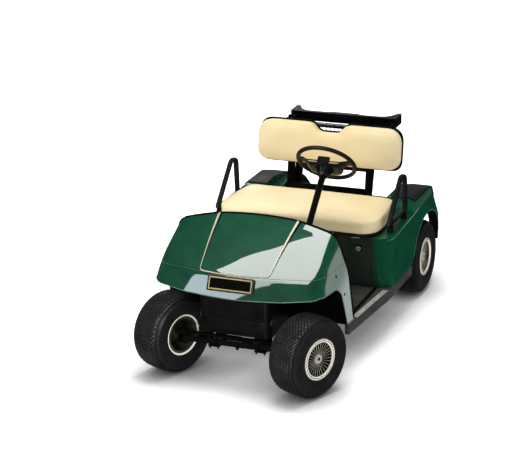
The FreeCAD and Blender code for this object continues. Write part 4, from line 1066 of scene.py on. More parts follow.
# ---- rear body ----
@dataclass
class RearBody:
    """Green rear shell with its side creases and arch lips, the apron, switch plate, pads and bag well."""

    shop: Workshop
    half: float = 590.0
    front_corner: float = 995.0
    front_round: float = 90.0
    tail_corner: float = 1845.0
    tail_round: float = 320.0
    arch_radius: float = 295.0
    wheel_y: float = WHEELBASE
    wheel_z: float = AXLE_LEVEL

    def side_x(self, y: Array) -> Array:
        """Half width of the shell over Y: full, less the front corner's and the tail corner's arcs.

        Args:
            y: places along the cart.

        Returns:
            Half widths in the shape of y.
        """
        front = np.clip(self.front_corner - y, 0, self.front_round)
        rear = np.clip(y - self.tail_corner, 0, self.tail_round)
        return (self.half - (self.front_round - np.sqrt(self.front_round ** 2 - front ** 2))
                - (self.tail_round - np.sqrt(self.tail_round ** 2 - rear ** 2)))

    def line(self, path: Array, radius: float) -> tuple[Array, list]:
        """Bead along (y, z) points on the side panel, half sunk into it.

        Args:
            path: points of shape (n, 2).
            radius: of the bead's middle part.

        Returns:
            Points and faces.
        """
        path = resampled(np.asarray(path, float), 80)
        taper = radius * np.clip(np.minimum(np.arange(80), np.arange(79, -1, -1)) / 6, 0.15, 1)
        points = np.stack([self.side_x(path[:, 0]) - 0.4, path[:, 0], path[:, 1]], 1)
        return tube(points, taper, 8, (1, 0, 0))

    def creases(self) -> tuple[Array, list]:
        """Both sides' feature lines: a small hook behind the apron, then a long rise to the fender.

        Returns:
            Points and faces.
        """
        run = [(918, 577, 0), (960, 580, 12), (1010, 584, 60), (1360, 599, 200), (1500, 611, 0)]
        return mirrored(*self.line(rounded(run, closed=False, steps=8), 1.9))

    def arch_lips(self) -> tuple[Array, list]:
        """Rolled lips round the wheel openings: a bead along the arc and down the straight front edge.

        Returns:
            Points and faces.
        """
        angle = np.radians(np.linspace(152, 3, 60))
        arc = np.stack([self.wheel_y + self.arch_radius * np.cos(angle),
                        self.wheel_z + self.arch_radius * np.sin(angle)], 1)
        path = np.concatenate([[(1342, 290), (1372, 329)], arc])
        points, faces = self.line(path[path[:, 1] > 250], 3.2)
        return mirrored(points - (1.2, 0, 0), faces)

    def arch_liners(self) -> tuple[Array, list]:
        """Black liners inside the wheel openings: a thin band along each arc, from its lip inwards.

        Returns:
            Points and faces.
        """
        angle = np.radians(np.linspace(150, 4, 48))
        parts = []
        for side in (1, -1):
            rings = []
            for radius, depth in ((292, 2), (292, 62), (287, 62), (287, 2)):
                y, z = self.wheel_y + radius * np.cos(angle), self.wheel_z + radius * np.sin(angle)
                rings.append(np.stack([side * (self.side_x(y) - depth), y, z], 1))
            parts.append(capped(np.stack(rings, 1)))
        return joined(parts)

    def switch_frame(self) -> tuple[Array, list]:
        """Raised mouldings on the switch plate: a rounded bar round it and one round the switches.

        Returns:
            Points and faces.
        """
        parts = []
        for low, high, radius in (((351, 488), (440, 578), 2.6), ((358, 506), (421, 547), 2.0)):
            loop = rounded([(*low, 9), (high[0], low[1], 9), (*high, 9), (low[0], high[1], 9)], steps=5)
            parts.append(tube(np.insert(loop, 1, 900.5, axis=1), radius, 8, (0, 1, 0), closed=True))
        return joined(parts)

    def switch_well(self) -> tuple[Array, list]:
        """Gloss black field behind the key and the rocker: a rounded plate 1.5 mm thick.

        Returns:
            Points and faces.
        """
        loop = rounded([(359, 507, 10), (420, 507, 10), (420, 546, 10), (359, 546, 10)], steps=5)
        return capped(np.stack([np.insert(loop, 1, y, axis=1) for y in (901.2, 899.7)]))

    def key_switch(self) -> None:
        """Switch plate's mouldings and field, the apron's seams, the key's ring and bar, and the clip."""
        self.shop.piece("switch_frame", *self.switch_frame(), APRON_ABS)
        self.shop.piece("switch_well", *self.switch_well(), PLATE_BLACK)
        seams = [bar([(side * 478, 902.5, 590), (side * 478, 902.5, 255)], 12, 2.2, 8, (0, 1, 0))
                 for side in (1, -1)]
        self.shop.piece("apron_seams", *joined(seams), APRON_ABS)
        ring, _ = spun(np.array([(0, 12.5), (3, 14.5), (5, 13.5), (5, 8), (0, 8)]), 28)
        faces = grid_faces(5, 28, wrap_rows=True, wrap_columns=True)
        points = np.stack([399 + ring[..., 1], 889 - ring[..., 0], 526 + ring[..., 2]], -1)
        self.shop.piece("key_bezel", points, faces, METALLISED, sharp=35)
        slot = tube(np.array([(394, 887.5, 526), (399, 887.2, 526), (404, 887.5, 526)], float), 1.8, 6)
        self.shop.piece("key_slot", *slot, METALLISED)
        clip = bar([(352, 901, 586), (372, 897, 589), (402, 897, 590)], 10, 5.0, 8, (0, 0, 1), 0.6)
        self.shop.piece("seat_clip", *clip, METALLISED)

    def build(self) -> None:
        """Builds the shell, its lines, the apron with its switch, the pads and the bag well."""
        self.shop.softened("rear_body", LACQUERED_ABS, 1.8, 2, 40)
        # pale crease beads: painted highlight along the side creases
        self.shop.piece("side_creases", *self.creases(), CREASE_HIGHLIGHT)
        # arch lips in pale green: a painted highlight round the wheel openings
        self.shop.piece("arch_lips", *self.arch_lips(), EDGE_HIGHLIGHT)
        self.shop.piece("arch_liners", *self.arch_liners(), RAW_ABS, sharp=40)
        self.shop.softened("seat_apron", APRON_ABS, 1.6)
        self.shop.softened("switch_panel", APRON_ABS, 1.6, 3)
        self.shop.softened("fender_pads", SCUFF_TPR, 2.2, 3, 40)
        self.shop.softened("bagwell", RAW_ABS, 2.0)
        self.shop.softened("rear_bumper", POWDER_COAT, 4.0, 3)
        self.key_switch()
        bolts = [dome((x, 2165, 306), (0, 1, 0), 9.0, 5.0, 6) for x in (-330, -175, 175, 330)]
        self.shop.piece("bumper_bolts", *joined(bolts), ZINC, sharp=30)


# ---- seat ----
@dataclass
class Cushion:
    """One padded piece: the CAD block swollen under pressure, then smoothed.

    voxel is the size of its skin's squares, shrink how far it is drawn in at the start, and cap the most that
    the cover may rise, all in millimetres; nothing sinks below rest_level along rest_axis.
    """

    shop: Workshop
    node: str
    body: str
    name: str
    voxel: float
    shrink: float
    cap: float
    pressure: float
    rest_axis: tuple
    rest_level: float
    frames: int = 20
    evening: int = 40

    def start_shape(self) -> bpy.types.Object:
        """Merged copy of the CAD block, drawn in a little, on an even skin of small quads.

        Returns:
            The start object.
        """
        source = self.shop.frame["nodes"][self.node]
        mesh = source.data.copy()
        work = bmesh.new()
        work.from_mesh(mesh)
        bmesh.ops.remove_doubles(work, verts=work.verts, dist=1e-5)
        bmesh.ops.recalc_face_normals(work, faces=work.faces)
        work.to_mesh(mesh)
        work.free()
        piece = bpy.data.objects.new(self.name, mesh)
        bpy.context.scene.collection.objects.link(piece)
        remesh = piece.modifiers.new("even skin", "REMESH")
        remesh.mode = "VOXEL"
        remesh.voxel_size = self.voxel / 1000
        remesh.use_smooth_shade = True
        self.apply(piece)
        mesh = piece.data
        drawn = vertex_rows(mesh, "co") - vertex_rows(mesh, "normal") * self.shrink / 1000
        mesh.vertices.foreach_set("co", drawn.ravel())
        mesh.update()
        return piece

    @staticmethod
    def apply(piece: bpy.types.Object) -> None:
        """Bakes a piece's modifiers into its mesh.

        Args:
            piece: the object.
        """
        graph = bpy.context.evaluated_depsgraph_get()
        baked = bpy.data.meshes.new_from_object(piece.evaluated_get(graph))
        piece.modifiers.clear()
        piece.data = baked

    def swell(self, piece: bpy.types.Object) -> None:
        """Blows the skin up like a cover over foam, and holds back points that move past the cap.

        Args:
            piece: the start object, whose mesh is changed.
        """
        mesh = piece.data
        before = vertex_rows(mesh, "co")
        cloth = piece.modifiers.new("cover", "CLOTH")
        cloth.settings.quality = 4
        cloth.settings.mass = 0.4
        cloth.settings.use_pressure = True
        cloth.settings.uniform_pressure_force = self.pressure
        cloth.settings.effector_weights.gravity = 0
        cloth.settings.tension_stiffness = 30
        cloth.settings.compression_stiffness = 30
        cloth.settings.bending_stiffness = 2.0
        scene = bpy.context.scene
        for frame_number in range(1, self.frames + 1):
            scene.frame_set(frame_number)
            bpy.context.view_layer.update()
        graph = bpy.context.evaluated_depsgraph_get()
        swollen = bpy.data.meshes.new_from_object(piece.evaluated_get(graph))
        piece.modifiers.clear()
        normal = vertex_rows(mesh, "normal")
        rise = np.clip(((vertex_rows(swollen, "co") - before) * normal).sum(1) * 1000, -1.0, self.cap)
        rise = self.spread(mesh, rise, self.evening)
        LOG.info("%s: cover rose %.1f to %.1f mm", self.name, rise.min(), rise.max())
        placed = before + normal * rise[:, None] / 1000
        axis = np.array(self.rest_axis)
        sunk = self.rest_level / 1000 - placed @ axis
        placed += np.clip(sunk, 0, None)[:, None] * axis
        mesh.vertices.foreach_set("co", placed.ravel())
        mesh.update()
        scene.frame_set(1)

    @staticmethod
    def spread(mesh: bpy.types.Mesh, values: Array, rounds: int) -> Array:
        """Evens out one value per point: each round takes half of it and half of its neighbours' mean.

        Args:
            mesh: its edges say which points are neighbours.
            values: one for each point.
            rounds: how many times.

        Returns:
            The evened values.
        """
        ends = np.empty(len(mesh.edges) * 2, int)
        mesh.edges.foreach_get("vertices", ends)
        one, two = ends.reshape(-1, 2).T
        count = np.bincount(np.concatenate([one, two]), minlength=len(values))
        for _ in range(rounds):
            total = np.bincount(np.concatenate([one, two]), minlength=len(values),
                                weights=np.concatenate([values[two], values[one]]))
            values = 0.5 * values + 0.5 * total / np.maximum(count, 1)
        return values

    def build(self, shape: Callable[[Array], Array]) -> bpy.types.Object:
        """Makes the cushion, hands its points to the shape function, and dresses it.

        Args:
            shape: moves points, in millimetres, to the sewn form.

        Returns:
            The cushion.
        """
        piece = self.start_shape()
        self.swell(piece)
        smooth = piece.modifiers.new("even", "SMOOTH")
        smooth.factor = 0.5
        smooth.iterations = 22
        self.apply(piece)
        mesh = piece.data
        points = (vertex_rows(mesh, "co") - (0, self.shop.axle_y, 0)) * 1000
        mesh.vertices.foreach_set("co", self.shop.place(shape(points)).ravel())
        mesh.update()
        fine = piece.modifiers.new("fine", "SUBSURF")
        fine.levels = 1
        fine.render_levels = 1
        self.apply(piece)
        piece.data.materials.clear()
        piece.data.materials.append(MARINE_VINYL.material())
        piece.data.shade_smooth()
        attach(piece, self.body)
        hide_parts(self.node)
        LOG.info("%s: %d faces after the cover was blown up", self.name, len(piece.data.polygons))
        return piece


@dataclass
class Seat:
    """Bench cushion, back rest, their board, shell, struts and hip restraints."""

    shop: Workshop
    lean: float = math.radians(10)
    pivot: tuple = (1451.0, 827.0)
    back_depth: float = 59.8
    base_level: float = 611.6

    @staticmethod
    def bench_shape(points: Array) -> Array:
        """Bench form: the top rises to the middle by a cosine over both plan directions, the front edge
        drops in a roll, and two shallow dishes mark the places to sit.

        Args:
            points: array of shape (n, 3).

        Returns:
            Moved points.
        """
        x, y, z = points.T
        across = np.clip(np.abs(x) / 505, 0, 1)
        along = np.clip((y - 885) / 461, 0, 1)
        share = smooth_step((z - 615) / 70)
        crown = 5.0 * (1 - across ** 4) * np.sin(np.pi * along) ** 0.6
        dish = 4.0 * np.exp(-((np.abs(x) - 250) / 150) ** 2 - ((along - 0.6) / 0.3) ** 2)
        roll = 12.0 * np.clip((0.16 - along) / 0.16, 0, 1) ** 2
        return np.stack([x, y, z + share * (crown - dish - roll)], 1)

    def back_local(self, points: Array) -> tuple[Array, Array]:
        """Depth and height of points in the leaned back rest's own upright frame.

        Args:
            points: array of shape (n, 3).

        Returns:
            Depths and heights.
        """
        y, z = points[:, 1] - self.pivot[0], points[:, 2] - self.pivot[1]
        c, s = math.cos(self.lean), math.sin(self.lean)
        return y * c - z * s, y * s + z * c

    def back_shape(self, points: Array) -> Array:
        """Back rest form: two pillows whose front swells, with a soft valley between them.

        Args:
            points: array of shape (n, 3).

        Returns:
            Moved points.
        """
        x = points[:, 0]
        depth, height = self.back_local(points)
        front = smooth_step((48 - depth) / 40)
        lobe = np.exp(-((np.abs(x) - 255) / 170) ** 4)
        level = np.clip(height / 264, 0, 1)
        swell = 7.0 * lobe * np.sin(np.pi * level) ** 0.7
        valley = 9.0 * np.exp(-(x / 55) ** 2) * smooth_step(level * 1.4)
        move = front * (valley - swell)
        return points + np.stack([0 * x, move * math.cos(self.lean), -move * math.sin(self.lean)], 1)

    def welt(self) -> tuple[Array, Array]:
        """Black edge bead between the back rest and its shell: a tube round the rest's outline.

        Returns:
            Points and faces.
        """
        loop = rounded([(466, 827, 70), (466, 1091, 88), (112, 1091, 60), (62, 1036, 40), (-62, 1036, 40),
                        (-112, 1091, 60), (-466, 1091, 88), (-466, 827, 70)], steps=9)
        depth = 60.0
        height = loop[:, 1] - self.pivot[1]
        y = self.pivot[0] + depth * math.cos(self.lean) + height * math.sin(self.lean)
        z = self.pivot[1] - depth * math.sin(self.lean) + height * math.cos(self.lean)
        return tube(np.stack([loop[:, 0] * 0.997, y, z], 1), 4.0, 8, (0, 1, 0), closed=True)

    def strut_bolts(self) -> None:
        """Bolts of the struts' feet and of the channel between them."""
        bolts = []
        for side in (1, -1):
            bolts += [dome((side * x, 1477.0, 660), (0, -1, 0.17), 8.0, 5.0, 6) for x in (120, 215)]
            bolts += [dome((side * 256, 1519 + 0.18 * (z - 827), z), (0, -1, 0.17), 7.0, 4.0, 6)
                      for z in (715, 760)]
        self.shop.piece("strut_bolts", *joined(bolts), POWDER_COAT, sharp=35)

    def hip_loops(self) -> tuple[Array, list]:
        """Padded triangular loops: between matching points of the outer and the inner outline, which give
        the middle m and the half width h, section angle a gives m + h cos a along the plane and
        15 sin a across it, each raised to the power 0.7 so that the section is squarish.

        Returns:
            Points and faces of both loops and of their feet.
        """
        outer = rounded([(985, 634, 14), (1245, 892, 72), (1333, 864, 56), (1343, 634, 14)], steps=10)
        inner = rounded([(1038, 649, 9), (1238, 856, 16), (1300, 841, 12), (1315, 649, 9)], steps=10)
        middle, half = (outer + inner) / 2, (outer - inner) / 2
        angle = np.radians(np.arange(0, 360, 22.5))
        across, along = (np.sign(wave) * np.abs(wave) ** 0.7 for wave in (np.sin(angle), np.cos(angle)))
        parts = []
        for side in (1, -1):
            points = np.empty((len(outer), len(angle), 3))
            points[..., 0] = side * 545 + 15 * across
            points[..., 1:] = middle[:, None] + half[:, None] * along[None, :, None]
            parts.append((points, grid_faces(len(outer), len(angle), wrap_rows=True, wrap_columns=True)))
            for y in (1040.0, 1300.0):
                foot = np.array([(side * 545, y, 592.5), (side * 545, y, 640)])
                parts.append(tube(foot, 20.0, 12, (0, 1, 0), 0.4))
        return joined(parts)

    def build(self) -> None:
        """Builds the cushions, dresses the hard parts and adds the small metalwork."""
        Cushion(self.shop, "seat_cushion", "seat", "bench_cushion", 7.0, 2.5, 22.0, 4.0,
                (0, 0, 1), self.base_level).build(self.bench_shape)
        axis = (0.0, -math.cos(self.lean), math.sin(self.lean))
        rear_y = self.pivot[0] + self.back_depth * math.cos(self.lean)
        rear_z = self.pivot[1] - self.back_depth * math.sin(self.lean)
        level = axis[1] * (rear_y / 1000 + self.shop.axle_y) * 1000 + axis[2] * rear_z
        Cushion(self.shop, "seat_back_cushion", "chassis", "back_cushion", 6.0, 3.0, 22.0, 4.0,
                axis, level).build(self.back_shape)
        self.shop.softened("seat_back_shell", ETCHED_PP, 3.0, 3)
        self.shop.softened("seat_back_struts", POWDER_COAT, 2.0)
        self.shop.piece("hip_loops", *self.hip_loops(), SKINNED_FOAM, replaces=["hip_restraints"], sharp=50)
        self.shop.paint("seat_base", SEALED_PLY)
        self.shop.paint("seat_hinge_pins", ZINC)
        self.shop.piece("back_welt", *self.welt(), ETCHED_PP)
        self.strut_bolts()


# ---- bag rack ----
@dataclass
class BagRack:
    """Rack with its posts, a wire basket and the bag straps' anchors."""

    shop: Workshop
    half: float = 208.0
    section: tuple = ((1634, 990), (1643, 877), (1746, 877), (1746, 1008))
    hoops: int = 17

    def basket(self) -> tuple[Array, list]:
        """Wire basket: hoops of the side section every 26 mm, long wires between them and a top rim.

        Returns:
            Points and faces.
        """
        hoop = resampled(rounded([(y, z, 14) for y, z in self.section], closed=False, steps=6), 40)
        wires = [tube(np.column_stack([np.full(40, x), hoop]), 2.0, 6, (1, 0, 0))
                 for x in np.linspace(-self.half, self.half, self.hoops)]
        for k in range(0, 40, 6):
            y, z = hoop[k]
            wires.append(bar([(-self.half, y, z), (self.half, y, z)], 12, 1.8, 6))
        rim = rounded([(self.half, self.section[0][0], 8), (self.half, 1746, 8), (-self.half, 1746, 8),
                       (-self.half, self.section[0][0], 8)], steps=6)
        level = 990 + 18 * (rim[:, 1] - 1634) / 112
        wires.append(tube(np.column_stack([rim, level]), 3.2, 8, closed=True))
        return joined(wires)

    def build(self) -> None:
        """Builds the rack, its posts, the basket, the ribs and the strap loops."""
        self.shop.softened("bag_rack", FILLED_NYLON, 3.0, 3)
        self.shop.softened("bag_rack_posts", POWDER_COAT, 3.0, 3)
        self.shop.piece("basket_wires", *self.basket(), COATED_WIRE, replaces=["sweater_basket"])
        ribs = []
        for side in (1, -1):
            for x in (140, 195, 250, 318):
                ribs.append(bar([(side * x, 1756, 1016), (side * x, 1756, 1066)], 6, 3.0, 6, (0, 1, 0)))
            strap = [(side * 326, 1700, 1046), (side * 326, 1692, 1052), (side * 318, 1684, 1051),
                     (side * 300, 1676, 1040), (side * 292, 1672, 1026)]
            ribs.append(bar(strap, 20, 14.0, 8, (0, 1, 0.2), 0.12))
        self.shop.piece("rack_ribs", *joined(ribs), FILLED_NYLON, sharp=40)


# ---- steering ----
@dataclass
class Steering:
    """Column with its boot, and the wheel with a gripped ring, a dished plate, a finned hub and a clip."""

    shop: Workshop
    centre: tuple = (230.0, 821.0, 1056.0)
    tilt: float = math.radians(47)
    ring: float = 168.0
    grip: float = 12.5
    waves: int = 48
    wave_height: float = 0.6

    def turned(self, points: Array) -> Array:
        """Wheel coordinates (Z along the column) to the cart's.

        Args:
            points: array of shape (..., 3).

        Returns:
            Points of the same shape.
        """
        x, y, z = np.moveaxis(np.asarray(points, float), -1, 0)
        c, s = math.cos(self.tilt), math.sin(self.tilt)
        return np.stack([x, y * c + z * s, -y * s + z * c], -1) + self.centre

    def rim_ring(self) -> tuple[Array, Array]:
        """Torus whose grip swells by finger waves on its far side: r + height sin(waves a) where sin(b) < 0.

        Returns:
            Points and faces.
        """
        a = np.linspace(0, 2 * np.pi, 240, endpoint=False)[:, None]
        b = np.linspace(0, 2 * np.pi, 20, endpoint=False)[None, :]
        under = np.clip(-np.sin(b), 0, 1)
        r = self.grip + self.wave_height * under * np.sin(self.waves * a)
        reach = self.ring + r * np.cos(b)
        points = np.stack([reach * np.cos(a), reach * np.sin(a), r * np.sin(b)], -1)
        return self.turned(points), grid_faces(240, 20, wrap_rows=True, wrap_columns=True)

    def dish(self) -> tuple[Array, list]:
        """Dished plate between two arms, a closed oval section carried across X.

        The rear edge is a superellipse, 8 + 70 (1 - (x / 106)^4)^0.5, that leaves the arms beyond it; the
        level climbs 38 mm by a smooth step from the plate to the ring, and the edges curl up by 6 mm.

        Returns:
            Points and faces.
        """
        x = np.concatenate([np.linspace(0, 88, 16), np.linspace(92, 108, 14), np.linspace(112, 160, 14)])
        x = np.concatenate([-x[:0:-1], x])[:, None]
        b = np.linspace(0, 2 * np.pi, 32, endpoint=False)[None, :]
        out = np.abs(x)
        rear = 8 + 70 * np.sqrt(np.clip(1 - (out / 106) ** 4, 0, 1))
        front = -58 + 12 * smooth_step((out - 88) / 40)
        across = np.sign(np.cos(b)) * np.abs(np.cos(b)) ** 0.5
        y = (rear + front) / 2 + (rear - front) / 2 * across
        rise = 38 * smooth_step((out - 82) / 58)
        thick = 5 * np.sign(np.sin(b)) * np.abs(np.sin(b)) ** 0.7
        z = -38 + rise + thick + 6 * np.abs(across) ** 6 * (rise < 30)
        return capped(self.turned(np.stack(np.broadcast_arrays(x, y, z), -1)), True)

    def tray(self) -> tuple[Array, list]:
        """Lip above the dish's front edge, a thin bar whose ends bend down to the arms.

        Returns:
            Points and faces.
        """
        route = [(-116, -52, -14), (-100, -62, -24), (100, -62, -24), (116, -52, -14)]
        points, faces = bar(route, 60, 3.6, 10)
        return self.turned(points), faces

    def hub(self) -> tuple[Array, list]:
        """Hub spun from a profile: a narrow collar, a straight cone and a flare into the dish.

        Returns:
            Points and faces.
        """
        profile = np.array([(-94, 20.5), (-95, 24), (-94, 27), (-90, 29), (-84, 30), (-76, 33), (-60, 35),
                            (-50, 38), (-43, 46), (-39, 60), (-36, 60)])
        points, _ = spun(profile, 48)
        return capped(self.turned(points[..., [1, 2, 0]]), True)

    def fins(self) -> tuple[Array, list]:
        """Ten webs under the pad that run down the cone, each a thin triangular plate.

        Returns:
            Points and faces.
        """
        parts = []
        for angle in np.radians(np.arange(0, 360, 36) + 18):
            out = np.array([math.cos(angle), math.sin(angle), 0])
            along = np.array([-math.sin(angle), math.cos(angle), 0]) * 2.0
            corner = np.array([out * 28 + (0, 0, -82), out * 35 + (0, 0, -77), out * 56 + (0, 0, -41),
                               out * 28 + (0, 0, -41)])
            plate = np.concatenate([corner - along, corner + along])
            sides = [[i, (i + 1) % 4, 4 + (i + 1) % 4, 4 + i] for i in range(4)]
            parts.append((self.turned(plate), [[3, 2, 1, 0], [4, 5, 6, 7]] + sides))
        return joined(parts)

    def clip(self) -> tuple[Array, list]:
        """Score card holder that stands on the dish's front edge: a rounded upright block.

        Returns:
            Points and faces.
        """
        rings = []
        for z, inset in ((-36, 0), (2, 0), (5, 1.5), (6.5, 4)):
            loop = rounded([(36 - inset, -66 + inset, 5), (36 - inset, -50 - inset, 5),
                            (-36 + inset, -50 - inset, 5), (-36 + inset, -66 + inset, 5)], steps=4)
            rings.append(np.insert(loop, 2, z, axis=1))
        return capped(self.turned(np.stack(rings)), True)

    def build(self) -> None:
        """Builds the wheel and dresses the column."""
        body = "steering_wheel"
        self.shop.piece("steering_ring", *self.rim_ring(), CAST_URETHANE, body, replaces=[body])
        for name, form, sharp in (("steering_dish", self.dish(), 60), ("dish_lip", self.tray(), 60),
                                  ("steering_hub", self.hub(), 50), ("hub_webs", self.fins(), 30),
                                  ("card_clip", self.clip(), 50)):
            self.shop.piece(name, *form, DISH_NYLON, body, sharp=sharp)
        self.shop.softened("steering_column", STOVE_ENAMEL, 2.0, 3)
        self.shop.softened("pedals", POWDER_COAT, 2.0, 2)


# ---- wheels ----
@dataclass
class TurfWheel:
    """One wheel: zigzag-ribbed tyre, ivory rim with its trim ring, and a finned cover.

    RINGS holds the turned pieces, each with its finish, its points around the axle and its closed
    (x, radius) profile; CAP is the hub cap's profile.
    """

    RINGS = (
        ("inner_flange", IVORY_ENAMEL, 72,
         [(-80, 104), (-88, 108), (-91.5, 113), (-94, 116.5), (-92.5, 119), (-89, 118.6), (-86, 114),
          (-80, 110)]),
        ("trim_ring", IVORY_ENAMEL, 72,
         [(82, 98), (89, 98), (93, 99), (95, 101), (95.4, 103.4), (94, 105.4), (88, 106), (88, 109),
          (94.2, 109.8), (95.2, 112), (94.2, 114.4), (89, 115), (89, 116.4), (92.6, 117.4), (90.5, 119.6),
          (86, 119.6), (84, 112)]),
        # black band sunk in the trim ring's groove: painted shade in the recess
        ("ring_groove_shade", COVER_ABS, 72,
         [(86, 104.8), (94.2, 104.8), (94.6, 107), (94.2, 109.6), (86, 109.6)]),
        ("cover_dish", COVER_ABS, 72,
         [(60, 98.5), (88, 98.5), (87, 96.5), (80, 95), (68, 93), (64, 90), (62, 60), (62, 34), (75, 24),
          (75, 6), (60, 6)]),
        ("hub_boss", COVER_ABS, 28, [(74, 9.2), (84.6, 9.2), (86, 6), (86.2, 0.5), (74, 0.5)]))
    CAP = [(74, 27), (80, 26.5), (84, 24), (85.5, 20), (84.2, 16), (84.0, 9.5), (74, 9.5)]

    shop: Workshop
    name: str
    centre: tuple
    outboard: tuple
    radius: float = AXLE_LEVEL
    half_width: float = 103.0
    ribs: int = 9
    periods: int = 52
    zigzag: float = 9.0
    groove: float = 8.0
    shoulder: float = 45.0
    tread_share: float = 0.78
    crown_drop: float = 1.4
    samples: int = 6
    vanes: int = 28

    def turned(self, points: Array) -> Array:
        """Wheel coordinates (X outboard, Z up) to the cart's: turned about Z, then moved.

        Args:
            points: array of shape (..., 3).

        Returns:
            Points of the same shape.
        """
        points = np.asarray(points, float)
        ax, ay = self.outboard
        x, y, z = points[..., 0], points[..., 1], points[..., 2]
        return np.stack([x * ax - y * ay, x * ay + y * ax, z], -1) + self.centre

    def outline(self, width: Array) -> Array:
        """Tyre radius and side offset over a running width: a flat crown, then shoulder arcs of 45 mm.

        Args:
            width: running width from the middle of the tread.

        Returns:
            Array of shape (n, 2) with x and radius.
        """
        flat, r = self.half_width - self.shoulder, self.shoulder
        over = np.clip(np.abs(width) - flat, 0, None)
        angle = over / r
        x = np.sign(width) * (np.minimum(np.abs(width), flat) + r * np.sin(angle))
        droop = self.crown_drop * (np.clip(np.abs(width), 0, flat) / flat) ** 2
        level = self.radius - r * (1 - np.cos(angle)) - droop
        return np.stack([x, level], -1)

    def tyre(self) -> tuple[Array, Array]:
        """Closed tyre skin: running widths of ribs and grooves that wave round the tread with a triangle
        wave, and plain stepped side walls down to the beads.

        Returns:
            Points and faces.
        """
        steps = self.periods * self.samples
        turn = np.arange(steps) / self.samples % 1
        wave = np.abs(turn * 2 - 1) * 2 - 1
        sipe = 3.0 * (np.arange(steps) % 3 == 1)
        flat = self.half_width - self.shoulder
        span = 2 * (flat + self.shoulder * self.tread_share)
        pitch = span / self.ribs
        edges = []
        for k in range(self.ribs):
            left = -span / 2 + k * pitch
            edges += [(left, 1), (left + 0.16 * pitch, 0), (left + 0.42 * pitch, 0), (left + 0.68 * pitch, 0),
                      (left + 0.8 * pitch, 1)]
        width, deep = np.array(edges + [(span / 2, 0)]).T
        fade = np.clip((span / 2 - np.abs(width)) / pitch, 0, 1)
        moved = width[:, None] + self.zigzag * fade[:, None] * wave[None, :]
        profile = self.outline(moved)
        x, r = profile[..., 0], profile[..., 1]
        out = np.clip((np.abs(moved) - flat) / self.shoulder, 0, 1.2)
        x = x - np.sign(moved) * np.sin(out) * deep[:, None] * self.groove
        r = r - np.cos(out) * np.maximum(deep[:, None] * self.groove, sipe[None, :])
        wall = np.array([(101.5, 196), (102.6, 188), (102.2, 184), (102.9, 180), (103, 172), (101.8, 158),
                         (102.4, 156), (101.6, 152), (98.8, 138), (97.2, 134), (97.0, 129), (93.8, 122),
                         (90.6, 116.2), (88.5, 113.5), (86, 112), (84, 102.5)])
        right = np.broadcast_to(wall[:, None], (len(wall), steps, 2))
        left = (right * (-1, 1))[::-1]
        stack = np.concatenate([left, np.stack([x, r], -1), right])
        angle = np.linspace(0, 2 * np.pi, steps, endpoint=False)
        points = np.stack([stack[..., 0], stack[..., 1] * np.cos(angle), stack[..., 1] * np.sin(angle)], -1)
        return self.turned(points), grid_faces(len(stack), steps, wrap_rows=True, wrap_columns=True)

    def revolved(self, profile: Sequence[tuple[float, float]], steps: int) -> tuple[Array, Array]:
        """Ring spun from a closed (x, radius) profile round the wheel's axle."""
        points, _ = spun(np.array(profile, float), steps)
        return self.turned(points), grid_faces(len(profile), steps, wrap_rows=True, wrap_columns=True)

    def fins(self) -> tuple[Array, list]:
        """Vanes over the dish, each a slim twisted bar from the hub cap to the ring.

        Returns:
            Points and faces.
        """
        parts = []
        for k in range(self.vanes):
            a = 2 * np.pi * k / self.vanes
            r = np.array([24.0, 60.0, 99.0])
            half = np.array([0.7, 1.0, 1.6])
            foot, crown = np.array([78.0, 81.0, 87.0]), np.array([79.0, 82.0, 88.0])
            lean = a + np.array([0.0, 0.02, 0.05])
            radial = np.stack([np.cos(lean), np.sin(lean)], 1)
            tangent = np.stack([-np.sin(lean), np.cos(lean)], 1)
            corners = []
            for side, x in ((-1, foot), (-0.5, crown), (0.5, crown), (1, foot)):
                yz = radial * r[:, None] + tangent * (side * half)[:, None]
                corners.append(np.column_stack([x, yz]))
            parts.append(capped(self.turned(np.stack(corners, 1))))
        return joined(parts)

    def build(self) -> None:
        """Builds the tyre, the rim's rings, the cover's dish and boss, its vanes and its hub cap."""
        body = f"wheel_{self.name}"
        self.shop.piece(f"tyre_skin_{self.name}", *self.tyre(), TYRE_RUBBER, body,
                        replaces=[f"tyre_{self.name}"], sharp=32)
        self.shop.paint(f"rim_{self.name}", DULL_ENAMEL)
        for name, finish, steps, profile in self.RINGS:
            self.shop.piece(f"{name}_{self.name}", *self.revolved(profile, steps), finish, body, sharp=35)
        self.shop.piece(f"cover_fins_{self.name}", *self.fins(), METALLISED, body, sharp=30)
        self.shop.piece(f"hub_cap_{self.name}", *self.revolved(self.CAP, 40), METALLISED, body,
                        replaces=[f"cover_{self.name}"], sharp=35)


@dataclass
class RunningGear:
    """Axles, springs, dampers, knuckles, batteries and motor."""

    shop: Workshop

    def build(self) -> None:
        """Dresses the running gear; rounded where castings and cases have soft edges."""
        for node, finish, radius in (
                ("front_axle", POWDER_COAT, 3.0), ("battery_pack", BATTERY_PP, 5.0),
                ("knuckle_left", CASTING, 2.0), ("knuckle_right", CASTING, 2.0)):
            self.shop.softened(node, finish, radius)
        for node, finish in (
                ("rear_axle", CASTING), ("drive_motor", MOTOR_ENAMEL), ("rear_leaf_springs", SPRING),
                ("front_leaf_springs", SPRING), ("shock_absorbers", POWDER_COAT),
                ("front_dampers", POWDER_COAT), ("tie_rod", CASTING)):
            self.shop.paint(node, finish)


